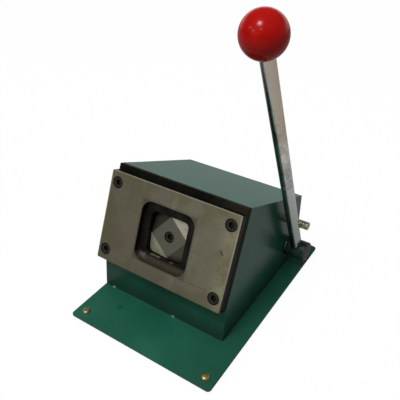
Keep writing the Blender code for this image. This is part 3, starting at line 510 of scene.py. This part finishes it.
def chrome():
    """Chrome on the drawn lever rod: haze, draw lines and patches, with painted reflections: a tan
    side, a dark side, a greener foot and a white patch.
    """
    plate = Finish("chrome", Metallic=1.0)
    across, depth, along = plate.split(plate.place())
    draw = plate.cloud((900.0, 900.0, 14.0), 3)
    haze = plate.ease(plate.cloud(48, 4, 0.6), 0.4, 0.7)
    blotches = plate.ease(plate.cloud(150, 4, 0.6), 0.44, 0.58)
    specks = plate.ease(plate.cloud(700, 3), 0.68, 0.76)
    # Painted reflection: a tan tint on the rod's +X side, on its upper part
    yellow = plate.ease(across + haze * 0.001, 0.0002, 0.0028) * plate.ease(along, 0.1, 0.2)
    # Painted reflection: darker and greener towards the foot
    foot = plate.ease(along, 0.13, 0.03)
    # Painted reflection: a dark band down the rod's left side, as seen from the front right
    oil_and_dark_reflection = plate.ease(across * 0.82 + depth * 0.57 + haze * 0.0004, -0.0026, -0.004)
    groove = plate.near(along, GROOVE_HEIGHT, 0.0006, 0.0003)

    def patch(height, reach):
        return plate.near(along, height, reach, reach * 0.4)

    # Patches along the rod: tan and dark blotches, and one white patch that is a painted highlight
    colour = plate.layers(
        plate.blend(draw, (0.66, 0.68, 0.67), (0.8, 0.82, 0.81)),
        (haze * 0.3, (0.58, 0.6, 0.6)), (yellow * 0.9, (0.74, 0.64, 0.5)),
        (foot * 0.65, (0.4, 0.45, 0.43)),
        (patch(0.19, 0.022) * blotches * 0.55, (0.6, 0.42, 0.36)),
        (patch(0.163, 0.018) * (1.0 - blotches) * 0.8, (1.0, 0.98, 0.94)),
        (patch(0.133, 0.02) * blotches * 0.55, (0.3, 0.31, 0.3)),
        (oil_and_dark_reflection * 0.85, (0.1, 0.075, 0.08)), (groove * 0.6, (0.2, 0.2, 0.19)),
        (specks * 0.6, (0.2, 0.19, 0.17)))
    roughness = 0.12 + haze * 0.1 + blotches * 0.05 + specks * 0.3
    return plate.done(colour, roughness, draw, 0.00001)


def red_plastic():
    """Polished red phenolic: deep colour under gloss, with a mould haze and hair scratches."""
    ball = Finish("red_plastic", IOR=1.26)
    haze = ball.cloud(60, 3)
    scratches = ball.ease(ball.cloud((1400.0, 120.0, 500.0)), 0.66, 0.74)
    colour = ball.mottle(haze, 0.3, 0.7, (0.37, 0.0035, 0.002), (0.44, 0.005, 0.003))
    roughness = 0.15 + haze * 0.08 + scratches * 0.12
    return ball.done(colour, roughness, haze * 0.8 + scratches * 0.1, 0.00002)


def soft_metal(name, light, dark, roughness):
    """Brass, bronze or yellow zinc: turned, and tarnished unevenly."""
    metal = Finish(name, Metallic=1.0)
    tarnish = metal.ease(metal.cloud(260, 4, 0.6), 0.38, 0.68)
    rings = metal.cloud((200.0, 200.0, 2600.0))
    worn = roughness + tarnish * 0.15 + rings * 0.08
    return metal.done(metal.blend(tarnish, light, dark), worn, rings, 0.00002)


def black_rubber():
    """Moulded rubber, dusty on its sides."""
    rubber = Finish("black_rubber", IOR=1.4)
    dust = rubber.ease(rubber.cloud(240, 4, 0.6), 0.4, 0.75)
    colour = rubber.blend(dust, (0.012, 0.012, 0.012), (0.05, 0.048, 0.045))
    return rubber.done(colour, 0.7 + dust * 0.2, rubber.cloud(1800), 0.00005)


def spring_wire():
    """Oil-tempered spring wire: dark blue-grey with draw marks."""
    wire = Finish("spring_wire", Metallic=1.0)
    marks = wire.cloud((500.0, 500.0, 2400.0), 3)
    colour = wire.blend(marks, (0.13, 0.135, 0.15), (0.3, 0.3, 0.31))
    return wire.done(colour, 0.3 + marks * 0.15, marks, 0.00002)


GREEN = green_enamel("green_enamel")
BASE_GREEN = green_enamel("base_enamel", INK_SPOT)
HUB_GREEN = hub_enamel()
WELD = bare_weld()
BLACK = black_oxide()
SCREW_BLACK = screw_black()
DIE_STEEL = ground_die()
PUNCH_STEEL = ground_punch()
STEEL = turned_steel()
CHROME = chrome()
RED = red_plastic()
BRASS = soft_metal("brass", (0.52, 0.42, 0.21), (0.35, 0.27, 0.12), 0.36)
YELLOW_ZINC = soft_metal("yellow_zinc", (0.6, 0.6, 0.44), (0.4, 0.4, 0.27), 0.3)
BRONZE = soft_metal("bronze", (0.075, 0.066, 0.042), (0.03, 0.028, 0.019), 0.6)
RUBBER = black_rubber()
WIRE = spring_wire()

FINISHES = {
    "green_enamel": GREEN, "black_oxide": BLACK, "ground_steel": PUNCH_STEEL,
    "bright_steel": STEEL, "chrome": CHROME, "bronze": BRONZE, "brass": BRASS,
    "red_plastic": RED, "rubber": RUBBER, "spring_steel": WIRE,
}


def mesh_of(shape):
    """A mesh from a bmesh, which is used up."""
    mesh = bpy.data.meshes.new("shape")
    shape.to_mesh(mesh)
    shape.free()
    return mesh


def placed(name, data):
    """A new object in the scene."""
    thing = bpy.data.objects.new(name, data)
    bpy.context.scene.collection.objects.link(thing)
    return thing


def settled(data, dress=None):
    """A mesh or curve after modifiers that dress puts on it, welded and facing out."""
    blank = placed("blank", data)
    if dress:
        dress(blank)
    bpy.context.view_layer.update()
    graph = bpy.context.evaluated_depsgraph_get()
    result = bpy.data.meshes.new_from_object(blank.evaluated_get(graph))
    bpy.data.objects.remove(blank)
    shape = bmesh.new()
    shape.from_mesh(result)
    bmesh.ops.remove_doubles(shape, verts=shape.verts, dist=WELD_DISTANCE)
    bmesh.ops.recalc_face_normals(shape, faces=shape.faces)
    shape.to_mesh(result)
    shape.free()
    return result


def moved(mesh, matrix):
    """The same mesh after a move."""
    mesh.transform(matrix)
    return mesh


def rounded(points, radius, steps=3, closed=False):
    """A line of points with its corners rounded; the ends of an open line stay."""
    result = []
    count = len(points)
    for index, point in enumerate(points):
        corner = Vector(point)
        if not closed and index in (0, count - 1):
            result.append(tuple(corner))
            continue
        before = Vector(points[index - 1]) - corner
        after = Vector(points[(index + 1) % count]) - corner
        half = before.angle(after) / 2
        reach = min(radius / math.tan(half), before.length / 2.1, after.length / 2.1)
        start = corner + before.normalized() * reach
        end = corner + after.normalized() * reach
        for step in range(steps + 1):
            share = step / steps
            to_corner = 2 * share * (1 - share)
            result.append(tuple(start * (1 - share) ** 2 + corner * to_corner + end * share ** 2))
    return result


def circle(radius, centre, steps=32):
    """Outline of a round hole."""
    return [(centre[0] + radius * math.cos(turn), centre[1] + radius * math.sin(turn))
            for turn in (2 * math.pi * step / steps for step in range(steps))]


def rounded_rectangle(width, height, radius, up=0.0, steps=10):
    """Outline of a rectangle with round corners, its centre at a height on the Y axis."""
    points = []
    for quarter, (side, end) in enumerate(((1, 1), (-1, 1), (-1, -1), (1, -1))):
        middle_x = side * (width / 2 - radius)
        middle_y = up + end * (height / 2 - radius)
        for step in range(steps + 1):
            turn = math.pi / 2 * (quarter + step / steps)
            points.append((middle_x + radius * math.cos(turn), middle_y + radius * math.sin(turn)))
    return points


def sheet(outlines, bottom, top):
    """A flat mesh between two heights from closed outlines: those inside others are holes."""
    curve = bpy.data.curves.new("outline", "CURVE")
    curve.dimensions = "2D"
    curve.fill_mode = "BOTH"
    curve.extrude = (top - bottom) / 2
    for points in outlines:
        spline = curve.splines.new("POLY")
        spline.points.add(len(points) - 1)
        for knot, point in zip(spline.points, points):
            knot.co = (*point, 0, 1)
        spline.use_cyclic_u = True
    return moved(settled(curve), slide(z=(top + bottom) / 2))


def turned(profile, steps=64, closed=False):
    """A mesh turned round Z from (radius, height) points."""
    edges = [(index, index + 1) for index in range(len(profile) - 1)]
    if closed:
        edges.append((len(profile) - 1, 0))
    mesh = bpy.data.meshes.new("profile")
    mesh.from_pydata([(radius, 0, height) for radius, height in profile], edges, [])

    def turn(blank):
        screw = blank.modifiers.new("Turn", "SCREW")
        screw.axis = "Z"
        screw.steps = steps
        screw.render_steps = steps
        screw.use_merge_vertices = True
        screw.merge_threshold = WELD_DISTANCE

    return settled(mesh, turn)


def groove(radius, middle, half, depth):
    """The part of a turned profile that makes a shallow groove, from its upper edge down."""
    floor = radius - depth
    return [(radius, middle + half), (floor, middle + half - depth),
            (floor, middle - half + depth), (radius, middle - half)]


def prism(radius, bottom, top, sides=48, spot=(0, 0)):
    """A round or many-sided bar along Z."""
    shape = bmesh.new()
    bmesh.ops.create_cone(shape, cap_ends=True, segments=sides, radius1=radius, radius2=radius,
                          depth=top - bottom, matrix=slide(*spot, (top + bottom) / 2))
    return mesh_of(shape)


def box_between(low, high):
    """A plain block between two corners."""
    shape = bmesh.new()
    size = Vector(high) - Vector(low)
    middle = (Vector(high) + Vector(low)) / 2
    bmesh.ops.create_cube(shape, size=1, matrix=slide(*middle) @ Matrix.Diagonal((*size, 1)))
    return mesh_of(shape)


def strip_across(section, left, right):
    """A strip along X from its section as (y, z) points."""
    flat = sheet([section], 0, right - left)
    return moved(flat, Matrix(((0, 0, 1, left), (1, 0, 0, 0), (0, 1, 0, 0), (0, 0, 0, 1))))


def joined(*meshes):
    """One mesh from several."""
    shape = bmesh.new()
    for mesh in meshes:
        shape.from_mesh(mesh)
    return mesh_of(shape)


def cut(mesh, *cutters):
    """A mesh with other meshes cut out of it."""
    tools = [placed("cutter", cutter) for cutter in cutters]

    def saw(blank):
        for tool in tools:
            boolean = blank.modifiers.new("Cut", "BOOLEAN")
            boolean.operation = "DIFFERENCE"
            boolean.solver = "EXACT"
            boolean.object = tool

    result = settled(mesh, saw)
    for tool in tools:
        bpy.data.objects.remove(tool)
    return result


def eased(mesh, width, steps=2, keep_sharp=None):
    """The same mesh with its flat faces joined and its sharp edges rounded a little.

    Curved faces and the new edges shade smooth, and plane faces flat. keep_sharp takes
    an edge's middle and says whether that edge stays sharp.
    """
    shape = bmesh.new()
    shape.from_mesh(mesh)
    bmesh.ops.remove_doubles(shape, verts=shape.verts, dist=WELD_DISTANCE)
    bmesh.ops.dissolve_limit(shape, angle_limit=FLAT_ANGLE, verts=shape.verts, edges=shape.edges)
    shape.normal_update()
    planes = [(face.normal.copy(), face.calc_center_median()) for face in shape.faces
              if not any(FLAT_ANGLE < edge.calc_face_angle(0) < SHARP_ANGLE for edge in face.edges)]
    sharp = [edge for edge in shape.edges
             if len(edge.link_faces) == 2 and edge.calc_face_angle() > SHARP_ANGLE
             and not (keep_sharp and keep_sharp((edge.verts[0].co + edge.verts[1].co) / 2))]
    bmesh.ops.bevel(shape, geom=sharp, offset=width, offset_type="OFFSET", segments=steps,
                    profile=0.5, affect="EDGES", clamp_overlap=True)
    bmesh.ops.recalc_face_normals(shape, faces=shape.faces)
    shape.normal_update()
    for face in shape.faces:
        middle = face.calc_center_median()
        face.smooth = not any(face.normal.dot(normal) > SAME_PLANE_COSINE
                              and abs((middle - spot).dot(normal)) < SAME_PLANE_GAP
                              for normal, spot in planes)
    return mesh_of(shape)


def fit(name, mesh, spot, finish, slot, body, *nodes, crease=SHARP_ANGLE, flats=False):
    """Hang a finished mesh on its body, in the place of CAD nodes where it names any.

    With flats the mesh keeps its own smooth and flat faces; without, all shade smooth.
    """
    mesh.name = name
    smooth = [face.use_smooth or not flats for face in mesh.polygons]
    mesh.set_sharp_from_angle(angle=crease)
    mesh.polygons.foreach_set("use_smooth", smooth)
    mesh.materials.clear()
    mesh.materials.append(finish)
    thing = placed(name, mesh)
    thing.matrix_world = spot
    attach(thing, body)
    if nodes:
        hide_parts(*nodes)
    return thing


def cad_mesh(node, spot):
    """A copy of a CAD node's mesh, in the frame of a spot."""
    return moved(frame["nodes"][node].data.copy(), spot.inverted())


def finish_cad_nodes():
    """Every CAD node gets the finish of its own slot."""
    for part in frame["record"]["subparts"]:
        mesh = frame["nodes"][part["node"]].data
        mesh.materials.clear()
        mesh.materials.append(FINISHES[part["material_slot"]])


def dress_housing():
    """Base and welded plates: outer edges rounded, seams between plates left tight."""
    base = eased(cad_mesh("base_plate", HERE), BASE_EDGE, 3)
    fit("base_sheet", base, HERE, BASE_GREEN, "green_enamel", "housing", "base_plate", flats=True)
    plates = {
        "left_side_plate": "left_side_sheet", "right_side_plate": "right_side_sheet",
        "front_apron": "apron_sheet", "top_plate": "top_sheet", "rear_plate": "rear_sheet",
        "bolster_plate": "bolster_block",
    }
    trees = {}
    for node in plates:
        shape = bmesh.new()
        shape.from_mesh(frame["nodes"][node].data)
        trees[node] = BVHTree.FromBMesh(shape)
        shape.free()
    for node, name in plates.items():
        others = [tree for other, tree in trees.items() if other != node]

        def meets_neighbour(middle):
            return any(tree.find_nearest(middle, SEAM_REACH)[0] for tree in others)

        mesh = eased(cad_mesh(node, HERE), PLATE_EDGE, 3, meets_neighbour)
        fit(name, mesh, HERE, GREEN, "green_enamel", "housing", node, flats=True)


def fill_seams():
    """Filler and paint in the seams between the welded plates, a little below their surface."""
    set_back = 0.00003
    depth = 0.0025
    past_corner = 0.004
    behind_face = 0.004
    left, right = BODY_LEFT + set_back, BODY_RIGHT - set_back
    rear, floor = BODY_REAR - set_back, BODY_FLOOR - 0.0001
    into = Vector((math.cos(FACE_TILT), -math.sin(FACE_TILT)))
    up_face = Vector((math.sin(FACE_TILT), math.cos(FACE_TILT)))
    knee = Vector((KNEE.y, KNEE.z))

    def spot(up, inward):
        return tuple(knee + up_face * up + into * inward)

    def band(low, high, near, far):
        """A section between two heights on the face, and from near to far behind it."""
        return [spot(low, near), spot(high, near), spot(high, far), spot(low, far)]

    # The apron leans from the floor to its own top edge, which is just below the knee
    lean = (KNEE.y - 0.00012 - BODY_FRONT) / (KNEE.z - 0.00027 - BODY_FLOOR)
    head = KNEE.z - 0.0001
    apron = [(BODY_FRONT + set_back + (height - BODY_FLOOR) * lean + inward, height)
             for height, inward in ((floor, 0), (head, 0), (head, depth), (floor, depth))]

    # One strip runs along the top plate and down the rear one
    top_length = (rear - spot(FACE_LENGTH, 0)[0]) / into.x
    top_corner = (rear, spot(FACE_LENGTH - set_back, top_length)[1])
    under_face = spot(FACE_LENGTH - depth, 0)
    under_rear = BODY_REAR - depth
    under_drop = (under_rear - under_face[0]) * into.y / into.x
    roof = [spot(FACE_LENGTH - set_back, behind_face), top_corner, (rear, floor),
            (under_rear, floor), (under_rear, under_face[1] + under_drop),
            spot(FACE_LENGTH - depth, behind_face)]

    # The bolster's upright seams and its lower ones, and the foot of the side plates
    cheek = band(0.0008, FACE_LENGTH - 0.0008, 0.010, 0.015)
    sill = band(-0.0012, 0.0012, 0.001, 0.014)
    strips = [strip_across(section, left + past_corner, right - past_corner)
              for section in (apron, roof)]
    for start in (left, right - depth):
        strips += [strip_across(section, start, start + depth) for section in (cheek, sill)]
        strips.append(box_between((start, BODY_FRONT + 0.001, floor),
                                  (start + depth, BODY_REAR - 0.001, floor + 0.0006)))
    fit("seam_filler", joined(*strips), HERE, GREEN, "green_enamel", "housing", flats=True)


def weld_bead(name, start, run, radius, seed, finish):
    """A lumpy weld from a start along a run, with a ripple for each dip of the rod."""
    chance = random.Random(seed)
    start, run = Vector(start), Vector(run)
    rings = round(run.length / (WELD_RIPPLE / 3))
    side = run.orthogonal().normalized()
    other = run.normalized().cross(side)
    turns = [2 * math.pi * number / WELD_SIDES for number in range(WELD_SIDES)]
    shape = bmesh.new()
    last = None
    for step in range(rings + 1):
        share = step / rings
        from_end = min(step, rings - step)
        end_size = min(1.0, math.sqrt(from_end / 3) + 0.3) if from_end else 0.06
        wave = math.sin(2 * math.pi * share * run.length / WELD_RIPPLE)
        size = radius * end_size * (1 + 0.12 * wave + chance.uniform(-0.08, 0.08))
        middle = start + run * share + side * chance.uniform(-0.1, 0.1) * radius
        loop = [shape.verts.new(middle + (side * math.cos(turn) + other * math.sin(turn)) * size)
                for turn in turns]
        if last:
            for here in range(WELD_SIDES):
                after = (here + 1) % WELD_SIDES
                shape.faces.new((last[here], last[after], loop[after], loop[here]))
        else:
            shape.faces.new(loop[::-1])
        last = loop
    shape.faces.new(last)
    bmesh.ops.recalc_face_normals(shape, faces=shape.faces)
    fit(name, mesh_of(shape), HERE, finish, "green_enamel", "housing")


def weld_housing():
    """Short welds that hold the housing on the base plate: bare in front, painted elsewhere."""
    front = BODY_FRONT - 0.0002
    for name, x, radius, seed in (("left", -0.0775, 0.0013, 3), ("middle", -0.0005, 0.0012, 5)):
        weld_bead(f"apron_weld_{name}", (x, front, BODY_FLOOR), (0.004, 0, 0), radius, seed, WELD)
    for number, y in enumerate((-0.052, -0.004, 0.046), start=1):
        weld_bead(f"side_weld_{number}", (BODY_RIGHT, y, BODY_FLOOR), (0, 0.014, 0), 0.0012,
                  10 + number, GREEN)
    for number, x in enumerate((-0.078, -0.024, 0.03), start=1):
        weld_bead(f"rear_weld_{number}", (x, BODY_REAR, BODY_FLOOR), (0.016, 0, 0), 0.0013,
                  20 + number, GREEN)


def make_feet():
    """Rubber feet with a moulded rim, and the domed brass screws that hold them."""
    pad_top = 0.0037
    pad_profile = [(0.0023, pad_top), (0.007, pad_top), (0.0066, 0.0012), (0.0062, 0),
                   (0.0035, 0), (0.003, 0.0005), (0, 0.0005), (0, 0.0019), (0.0023, 0.0019)]
    head_seat = 0.0063
    head_radius = 0.004
    head_height = 0.0026
    dome = [(0, head_height)]
    for step in range(1, 10):
        turn = math.pi / 2 * step / 10
        dome.append((head_radius * math.sin(turn), head_height * math.cos(turn) ** 0.9))
    dome += [(head_radius, 0.0002), (0.0038, 0), (0.002, 0), (0.002, -0.0039), (0, -0.0039)]
    slot_floor, slot_reach, slot_half = 0.0014, 0.0024, 0.0004
    for number in range(1, 5):
        low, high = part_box(f"rubber_foot_{number}")
        middle = slide((low.x + high.x) / 2, (low.y + high.y) / 2)
        pad = turned(rounded(pad_profile, 0.0004, 2, True), 32, True)
        fit(f"foot_pad_{number}", pad, middle, RUBBER, "rubber", "housing",
            f"rubber_foot_{number}")
        slots = [box_between((-x, -y, slot_floor), (x, y, head_height + CUT_OVERRUN))
                 for x, y in ((slot_reach, slot_half), (slot_half, slot_reach))]
        screw = cut(turned(dome, 32), *slots)
        spot = middle @ slide(z=head_seat) @ spun(math.radians(35 * number))
        fit(f"foot_screw_head_{number}", screw, spot, BRASS, "brass", "housing",
            f"foot_screw_{number}")


def socket_screw(head, height, edge, shank, length):
    """A socket head screw along Z, with the top of its head at zero."""
    profile = [(0, 0), (head, 0), (head, -height), (shank, -height), (shank, -height - length),
               (0, -height - length)]
    blank = turned(rounded(profile, edge, 4), 48)
    key_corner = KEY_WIDTH / math.sqrt(3)
    rim = key_corner + KEY_BEVEL
    bevel = turned([(0, CUT_OVERRUN), (rim + CUT_OVERRUN, CUT_OVERRUN), (0, -rim)], 48)
    return cut(blank, prism(key_corner, -KEY_DEPTH, CUT_OVERRUN, 6), bevel)


def make_tooling():
    """Guide plate, die plate with its window, and the screws that clamp them."""
    holes = [circle(DIE_SCREW_HOLE, spot) for spot in DIE_SCREW_PLACES]
    opening = rounded_rectangle(CUT_SIZE, CUT_SIZE, CUT_CORNER, OPENING_HEIGHT)
    edge = rounded_rectangle(DIE_WIDTH, FACE_LENGTH, GUIDE_CORNER, FACE_LENGTH / 2, 2)
    guide = sheet([edge, opening] + holes, GUIDE_TOP - GUIDE_THICKNESS, GUIDE_TOP)
    fit("guide_sheet", eased(guide, GUIDE_EDGE), FACE, BLACK, "black_oxide", "housing",
        "guide_plate", flats=True)

    above = DIE_THICKNESS + CUT_OVERRUN
    edge = rounded_rectangle(DIE_WIDTH, DIE_HEIGHT, DIE_CORNER, DIE_CENTRE, 6)
    blank = sheet([edge, opening] + holes, 0, DIE_THICKNESS)
    window = rounded_rectangle(WINDOW_SIZE, WINDOW_SIZE, WINDOW_CORNER, OPENING_HEIGHT)
    pocket = sheet([window], DIE_THICKNESS - WINDOW_DEPTH, above)
    bores = [prism(DIE_SCREW_BORE, DIE_THICKNESS - DIE_BORE_DEPTH, above, spot=spot)
             for spot in DIE_SCREW_PLACES]
    fit("die_block", eased(cut(blank, pocket, *bores), DIE_EDGE), FACE @ slide(z=DIE_BOTTOM),
        DIE_STEEL, "ground_steel", "housing", "die_plate", flats=True)

    for number, spot in enumerate(DIE_SCREW_PLACES, start=1):
        screw = socket_screw(DIE_SCREW_HEAD, 0.005, 0.0007, 0.004, 0.019)
        seat = FACE @ slide(*spot, DIE_TOP - DIE_SCREW_SINK) @ spun(math.radians(17 * number))
        fit(f"die_clamp_screw_{number}", screw, seat, SCREW_BLACK, "black_oxide", "housing",
            f"die_screw_{number}")


def make_punch():
    """The punch with its ground facets, and the screw in its middle."""
    outline = rounded_rectangle(PUNCH_SIZE, PUNCH_SIZE, PUNCH_CORNER)
    facets = []
    for quarter in range(4):
        cover = bmesh.new()
        bmesh.ops.create_cube(cover, size=PUNCH_SIZE,
                              matrix=slide(y=PUNCH_SIZE / 2, z=PUNCH_SIZE / 2))
        turn = math.pi / 4 + FLAT_TURN + quarter * math.pi / 2
        spot = spun(turn) @ slide(y=FLAT_REACH) @ spun(-FACET_SLOPE, "X")
        facets.append(moved(mesh_of(cover), spot))
    bore = prism(PUNCH_BORE, -PUNCH_BORE_DEPTH, CUT_OVERRUN)
    hole = prism(PUNCH_HOLE, -PUNCH_LENGTH - CUT_OVERRUN, CUT_OVERRUN, 32)
    punch = cut(sheet([outline], -PUNCH_LENGTH, 0), *facets, bore, hole)
    spot = RAM @ slide(z=PUNCH_FACE)
    fit("faceted_punch", eased(punch, PUNCH_EDGE), spot, PUNCH_STEEL, "ground_steel",
        "punch_ram", "punch", crease=FACET_ANGLE, flats=True)
    fit("punch_cap_screw", socket_screw(0.005, 0.006, 0.0006, 0.003, 0.030),
        spot @ slide(z=-PUNCH_SCREW_SINK), SCREW_BLACK, "black_oxide", "punch_ram", "punch_screw")


def make_spring():
    """The return spring: round wire, close end turns, built at one length."""
    front = SPRING_FRONT - COIL_WIRE
    back = SPRING_BACK + COIL_WIRE
    free_pitch = (front - back - 2 * END_PITCH) / (COIL_TURNS - 2)
    curve = bpy.data.curves.new("coil", "CURVE")
    curve.dimensions = "3D"
    curve.bevel_depth = COIL_WIRE
    curve.bevel_resolution = 3
    curve.use_fill_caps = True
    spline = curve.splines.new("POLY")
    points_a_turn = 32
    spline.points.add(COIL_TURNS * points_a_turn)
    for index, knot in enumerate(spline.points):
        turn = index / points_a_turn
        close = min(turn, 1) + max(turn - COIL_TURNS + 1, 0)
        height = front - close * END_PITCH - (turn - close) * free_pitch
        angle = 2 * math.pi * turn
        knot.co = (COIL_RADIUS * math.cos(angle), COIL_RADIUS * math.sin(angle), height, 1)
    spring = fit("return_coil", settled(curve), RAM, WIRE, "spring_steel", "housing",
                 "return_spring")
    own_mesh(spring)


def make_shaft_ends():
    """The ends of the bushes and of the cross shaft, as they show in the side plates."""
    bore, outside, flange = 0.0093, 0.0123, 0.0153
    flange_depth, length = 0.0025, 0.0088
    profile = [(flange, 0), (flange, -flange_depth), (outside, -flange_depth), (outside, -length),
               (bore, -length), (bore, 0)]
    for hand, side in (("left", -1), ("right", 1)):
        bush = turned(rounded(profile, 0.0003, 2, True), closed=True)
        spot = SHAFT @ slide(side * BUSH_FACE) @ spun(-side * math.pi / 2, "Y")
        fit(f"{hand}_bush_sleeve", bush, spot, BRONZE, "bronze", "housing", f"{hand}_bush")

    mouth = SHAFT_LEFT_END - CUT_OVERRUN
    pilot, tip = SHAFT_LEFT_END + 0.0021, SHAFT_LEFT_END + 0.004
    centre_drill = [(0, mouth), (0.00335, mouth), (0.001, pilot), (0.001, tip), (0, tip)]
    shaft = cut(cad_mesh("main_shaft", SHAFT), moved(turned(centre_drill, 32), ACROSS))
    fit("cross_shaft", eased(shaft, SHAFT_EDGE), SHAFT, STEEL, "bright_steel", "lever",
        "main_shaft", flats=True)


def make_lever():
    """Hub, chrome rod and red ball."""
    hub_start = HUB_GAP - LEVER_OFFSET
    hub_end = hub_start + HUB_LENGTH
    bore = SHAFT_END_RADIUS + BORE_PLAY
    outside = rounded([(0, hub_end), (HUB_RADIUS, hub_end), (HUB_RADIUS, hub_start),
                       (bore, hub_start)], 0.0013, 4)
    inside = [(bore, hub_end - HUB_CAP), (0, hub_end - HUB_CAP)]
    above = 0.02
    hole = TENON_RADIUS + BORE_PLAY
    socket = prism(ROD_RADIUS + BORE_PLAY, ROD_FOOT - BORE_PLAY, above)
    through = prism(hole, TENON_END - BORE_PLAY, above)
    screw_hole = moved(prism(0.0028, 0.004, above), spun(-math.pi / 2, "X"))
    hub = cut(moved(turned(outside + inside), ACROSS), socket, through, screw_hole)
    fit("hub_boss", hub, LEVER, HUB_GREEN, "green_enamel", "lever", "lever_hub")

    ball_flat = -math.sqrt(BALL_RADIUS ** 2 - BALL_FLAT_RADIUS ** 2)
    shoulder = BALL_DISTANCE + ball_flat - BORE_PLAY
    top = BALL_DISTANCE + ball_flat + TENON_LENGTH
    rod = rounded([(0, top), (TENON_RADIUS, top), (TENON_RADIUS, shoulder),
                   (ROD_RADIUS, shoulder)], 0.0009)
    rod += groove(ROD_RADIUS, GROOVE_HEIGHT, 0.0004, 0.0002)
    rod += [(ROD_RADIUS, ROD_FOOT), (TENON_RADIUS, ROD_FOOT), (TENON_RADIUS, TENON_END),
            (0, TENON_END)]
    fit("chrome_rod", turned(rod), LEVER, CHROME, "chrome", "lever", "lever_rod")

    flat_turn = math.pi - math.asin(BALL_FLAT_RADIUS / BALL_RADIUS)
    arc = [(BALL_RADIUS * math.sin(turn), BALL_RADIUS * math.cos(turn))
           for turn in (flat_turn * step / 48 for step in range(49))]
    hole_top = ball_flat + TENON_LENGTH + BORE_PLAY
    arc += [(0.0064, ball_flat), (hole + 0.0003, ball_flat + 0.0003), (hole, hole_top),
            (0, hole_top)]
    ball = moved(turned(arc, 72), spun(LEVER_LEAN, "X"))
    fit("red_ball", ball, slide(*BALL_CENTRE), RED, "red_plastic", "lever", "ball_knob")


def make_stop_pin():
    """The turned stop pin, with a rounded end and a shallow groove near it."""
    low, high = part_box("stop_pin")
    middle = (low + high) / 2
    length = high.x - BODY_RIGHT
    inner_end = -0.006
    ring = groove(STOP_PIN_RADIUS, length - 0.0041, 0.0006, 0.0003)
    profile = rounded([(0, length), (STOP_PIN_RADIUS, length), ring[0]], 0.0007) + ring[1:]
    profile += [(STOP_PIN_RADIUS, inner_end), (0, inner_end)]
    fit("turned_stop_pin", turned(profile, 48), slide(BODY_RIGHT, middle.y, middle.z) @ ACROSS,
        YELLOW_ZINC, "brass", "housing", "stop_pin")


def make_floor():
    """A plain pale floor: white to the camera with a faint shadow, and a mid grey reflector."""
    shape = bmesh.new()
    bmesh.ops.create_circle(shape, cap_ends=True, segments=96, radius=12)
    floor = placed("floor", mesh_of(shape))
    pale = Finish("pale_floor", Roughness=0.9)
    rays = pale.outputs("ShaderNodeLightPath")
    camera = rays["Is Camera Ray"]
    pale.set(Base_Color=pale.blend(camera, (0.3, 0.3, 0.3), (0.95, 0.95, 0.95)))
    seen = camera * 0.97 + rays["Is Glossy Ray"] * 0.15
    white = pale.add("ShaderNodeEmission", sockets={"Color": WHITE_TONE, "Strength": 1.0})
    painted = Wire(pale, pale.shader.outputs[0])
    surface = pale.add("ShaderNodeMixShader", sockets={0: seen, 1: painted, 2: white})
    pale.plug(pale.tree.nodes["Material Output"].inputs["Surface"], surface)
    floor.data.materials.append(pale.material)


def light_world():
    """White to the camera. The light comes mostly from above and less from the right, and
    reflections show a white backdrop behind, a window in front and a dim room elsewhere."""
    world = bpy.data.worlds.new("studio")
    world.use_nodes = True
    bpy.context.scene.world = world
    room = Board(world.node_tree)
    rays = room.outputs("ShaderNodeLightPath")
    mirror = rays["Is Glossy Ray"].larger(rays["Is Transmission Ray"])
    towards = room.add("ShaderNodeTexCoord", output="Generated")
    rightward, backward, height = room.split(towards)

    overhead = height.larger(0.0)
    less_right = 1.0 - room.ease(rightward, 0.1, 0.9) * 0.65
    light = (0.05 + overhead * overhead * 1.25) * less_right
    soft = room.blend(light, (0.0, 0.0, 0.0), WHITE_TONE)
    backdrop = room.ease(backward, -0.1, 0.4) * room.ease(height, 0.45, 0.15)
    to_window = tuple(Vector((-0.22, -0.9, 0.34)).normalized())
    window = room.ease(room.vectors("DOT_PRODUCT", towards, to_window, "Value"), 0.88, 0.98)
    reflected = room.layers(
        room.blend(backdrop, (0.1, 0.1, 0.1), (1.12, 1.12, 1.12)),
        (room.ease(rightward, 0.35, 0.8) * 0.8, (0.34, 0.30, 0.24)), (window, (0.7, 0.69, 0.64)))
    colour = room.layers(soft, (mirror, reflected), (rays["Is Camera Ray"], WHITE_TONE))
    room.plug(world.node_tree.nodes["Background"].inputs["Color"], colour)


def hang_light(name, direction, distance, size, watts):
    """A square lamp in a direction from the ball, facing the housing."""
    lamp = bpy.data.lights.new(name, "AREA")
    lamp.size = size
    lamp.energy = watts
    thing = placed(name, lamp)
    thing.location = BALL_CENTRE + Vector(direction).normalized() * distance
    from_housing = thing.location - Vector((-0.01, -0.02, 0.09))
    thing.rotation_euler = from_housing.to_track_quat("Z", "Y").to_euler()


def make_lights():
    """The lamps whose highlights show on the ball."""
    hang_light("ceiling_lamp", (-0.103, -0.504, 0.857), 1.3, 0.32, 10.0)
    hang_light("left_lamp", (-0.636, -0.602, 0.483), 1.4, 0.1, 0.7)
    hang_light("front_lamp", (0.143, -0.79, 0.596), 1.4, 0.08, 0.5)
    hang_light("low_front_lamp", (-0.395, -0.828, 0.398), 1.4, 0.08, 0.5)


def make_camera():
    """The camera of the photograph."""
    lens = bpy.data.cameras.new("camera")
    lens.lens = 45.98
    lens.sensor_width = 36
    lens.clip_start = 0.01
    camera = placed("camera", lens)
    azimuth, elevation, roll = (math.radians(angle) for angle in (34.1848, 34.3902, -0.8691))
    camera.matrix_world = (slide(0.22391937, -0.33928676, 0.38823238) @ spun(azimuth)
                           @ spun(math.pi / 2 - elevation, "X") @ spun(roll))
    bpy.context.scene.camera = camera
    bpy.context.scene.view_settings.view_transform = "Standard"


make_camera()
finish_cad_nodes()
dress_housing()
fill_seams()
weld_housing()
make_feet()
make_tooling()
make_punch()
make_spring()
make_shaft_ends()
make_lever()
make_stop_pin()
make_floor()
light_world()
make_lights()

bpy.context.view_layer.update()
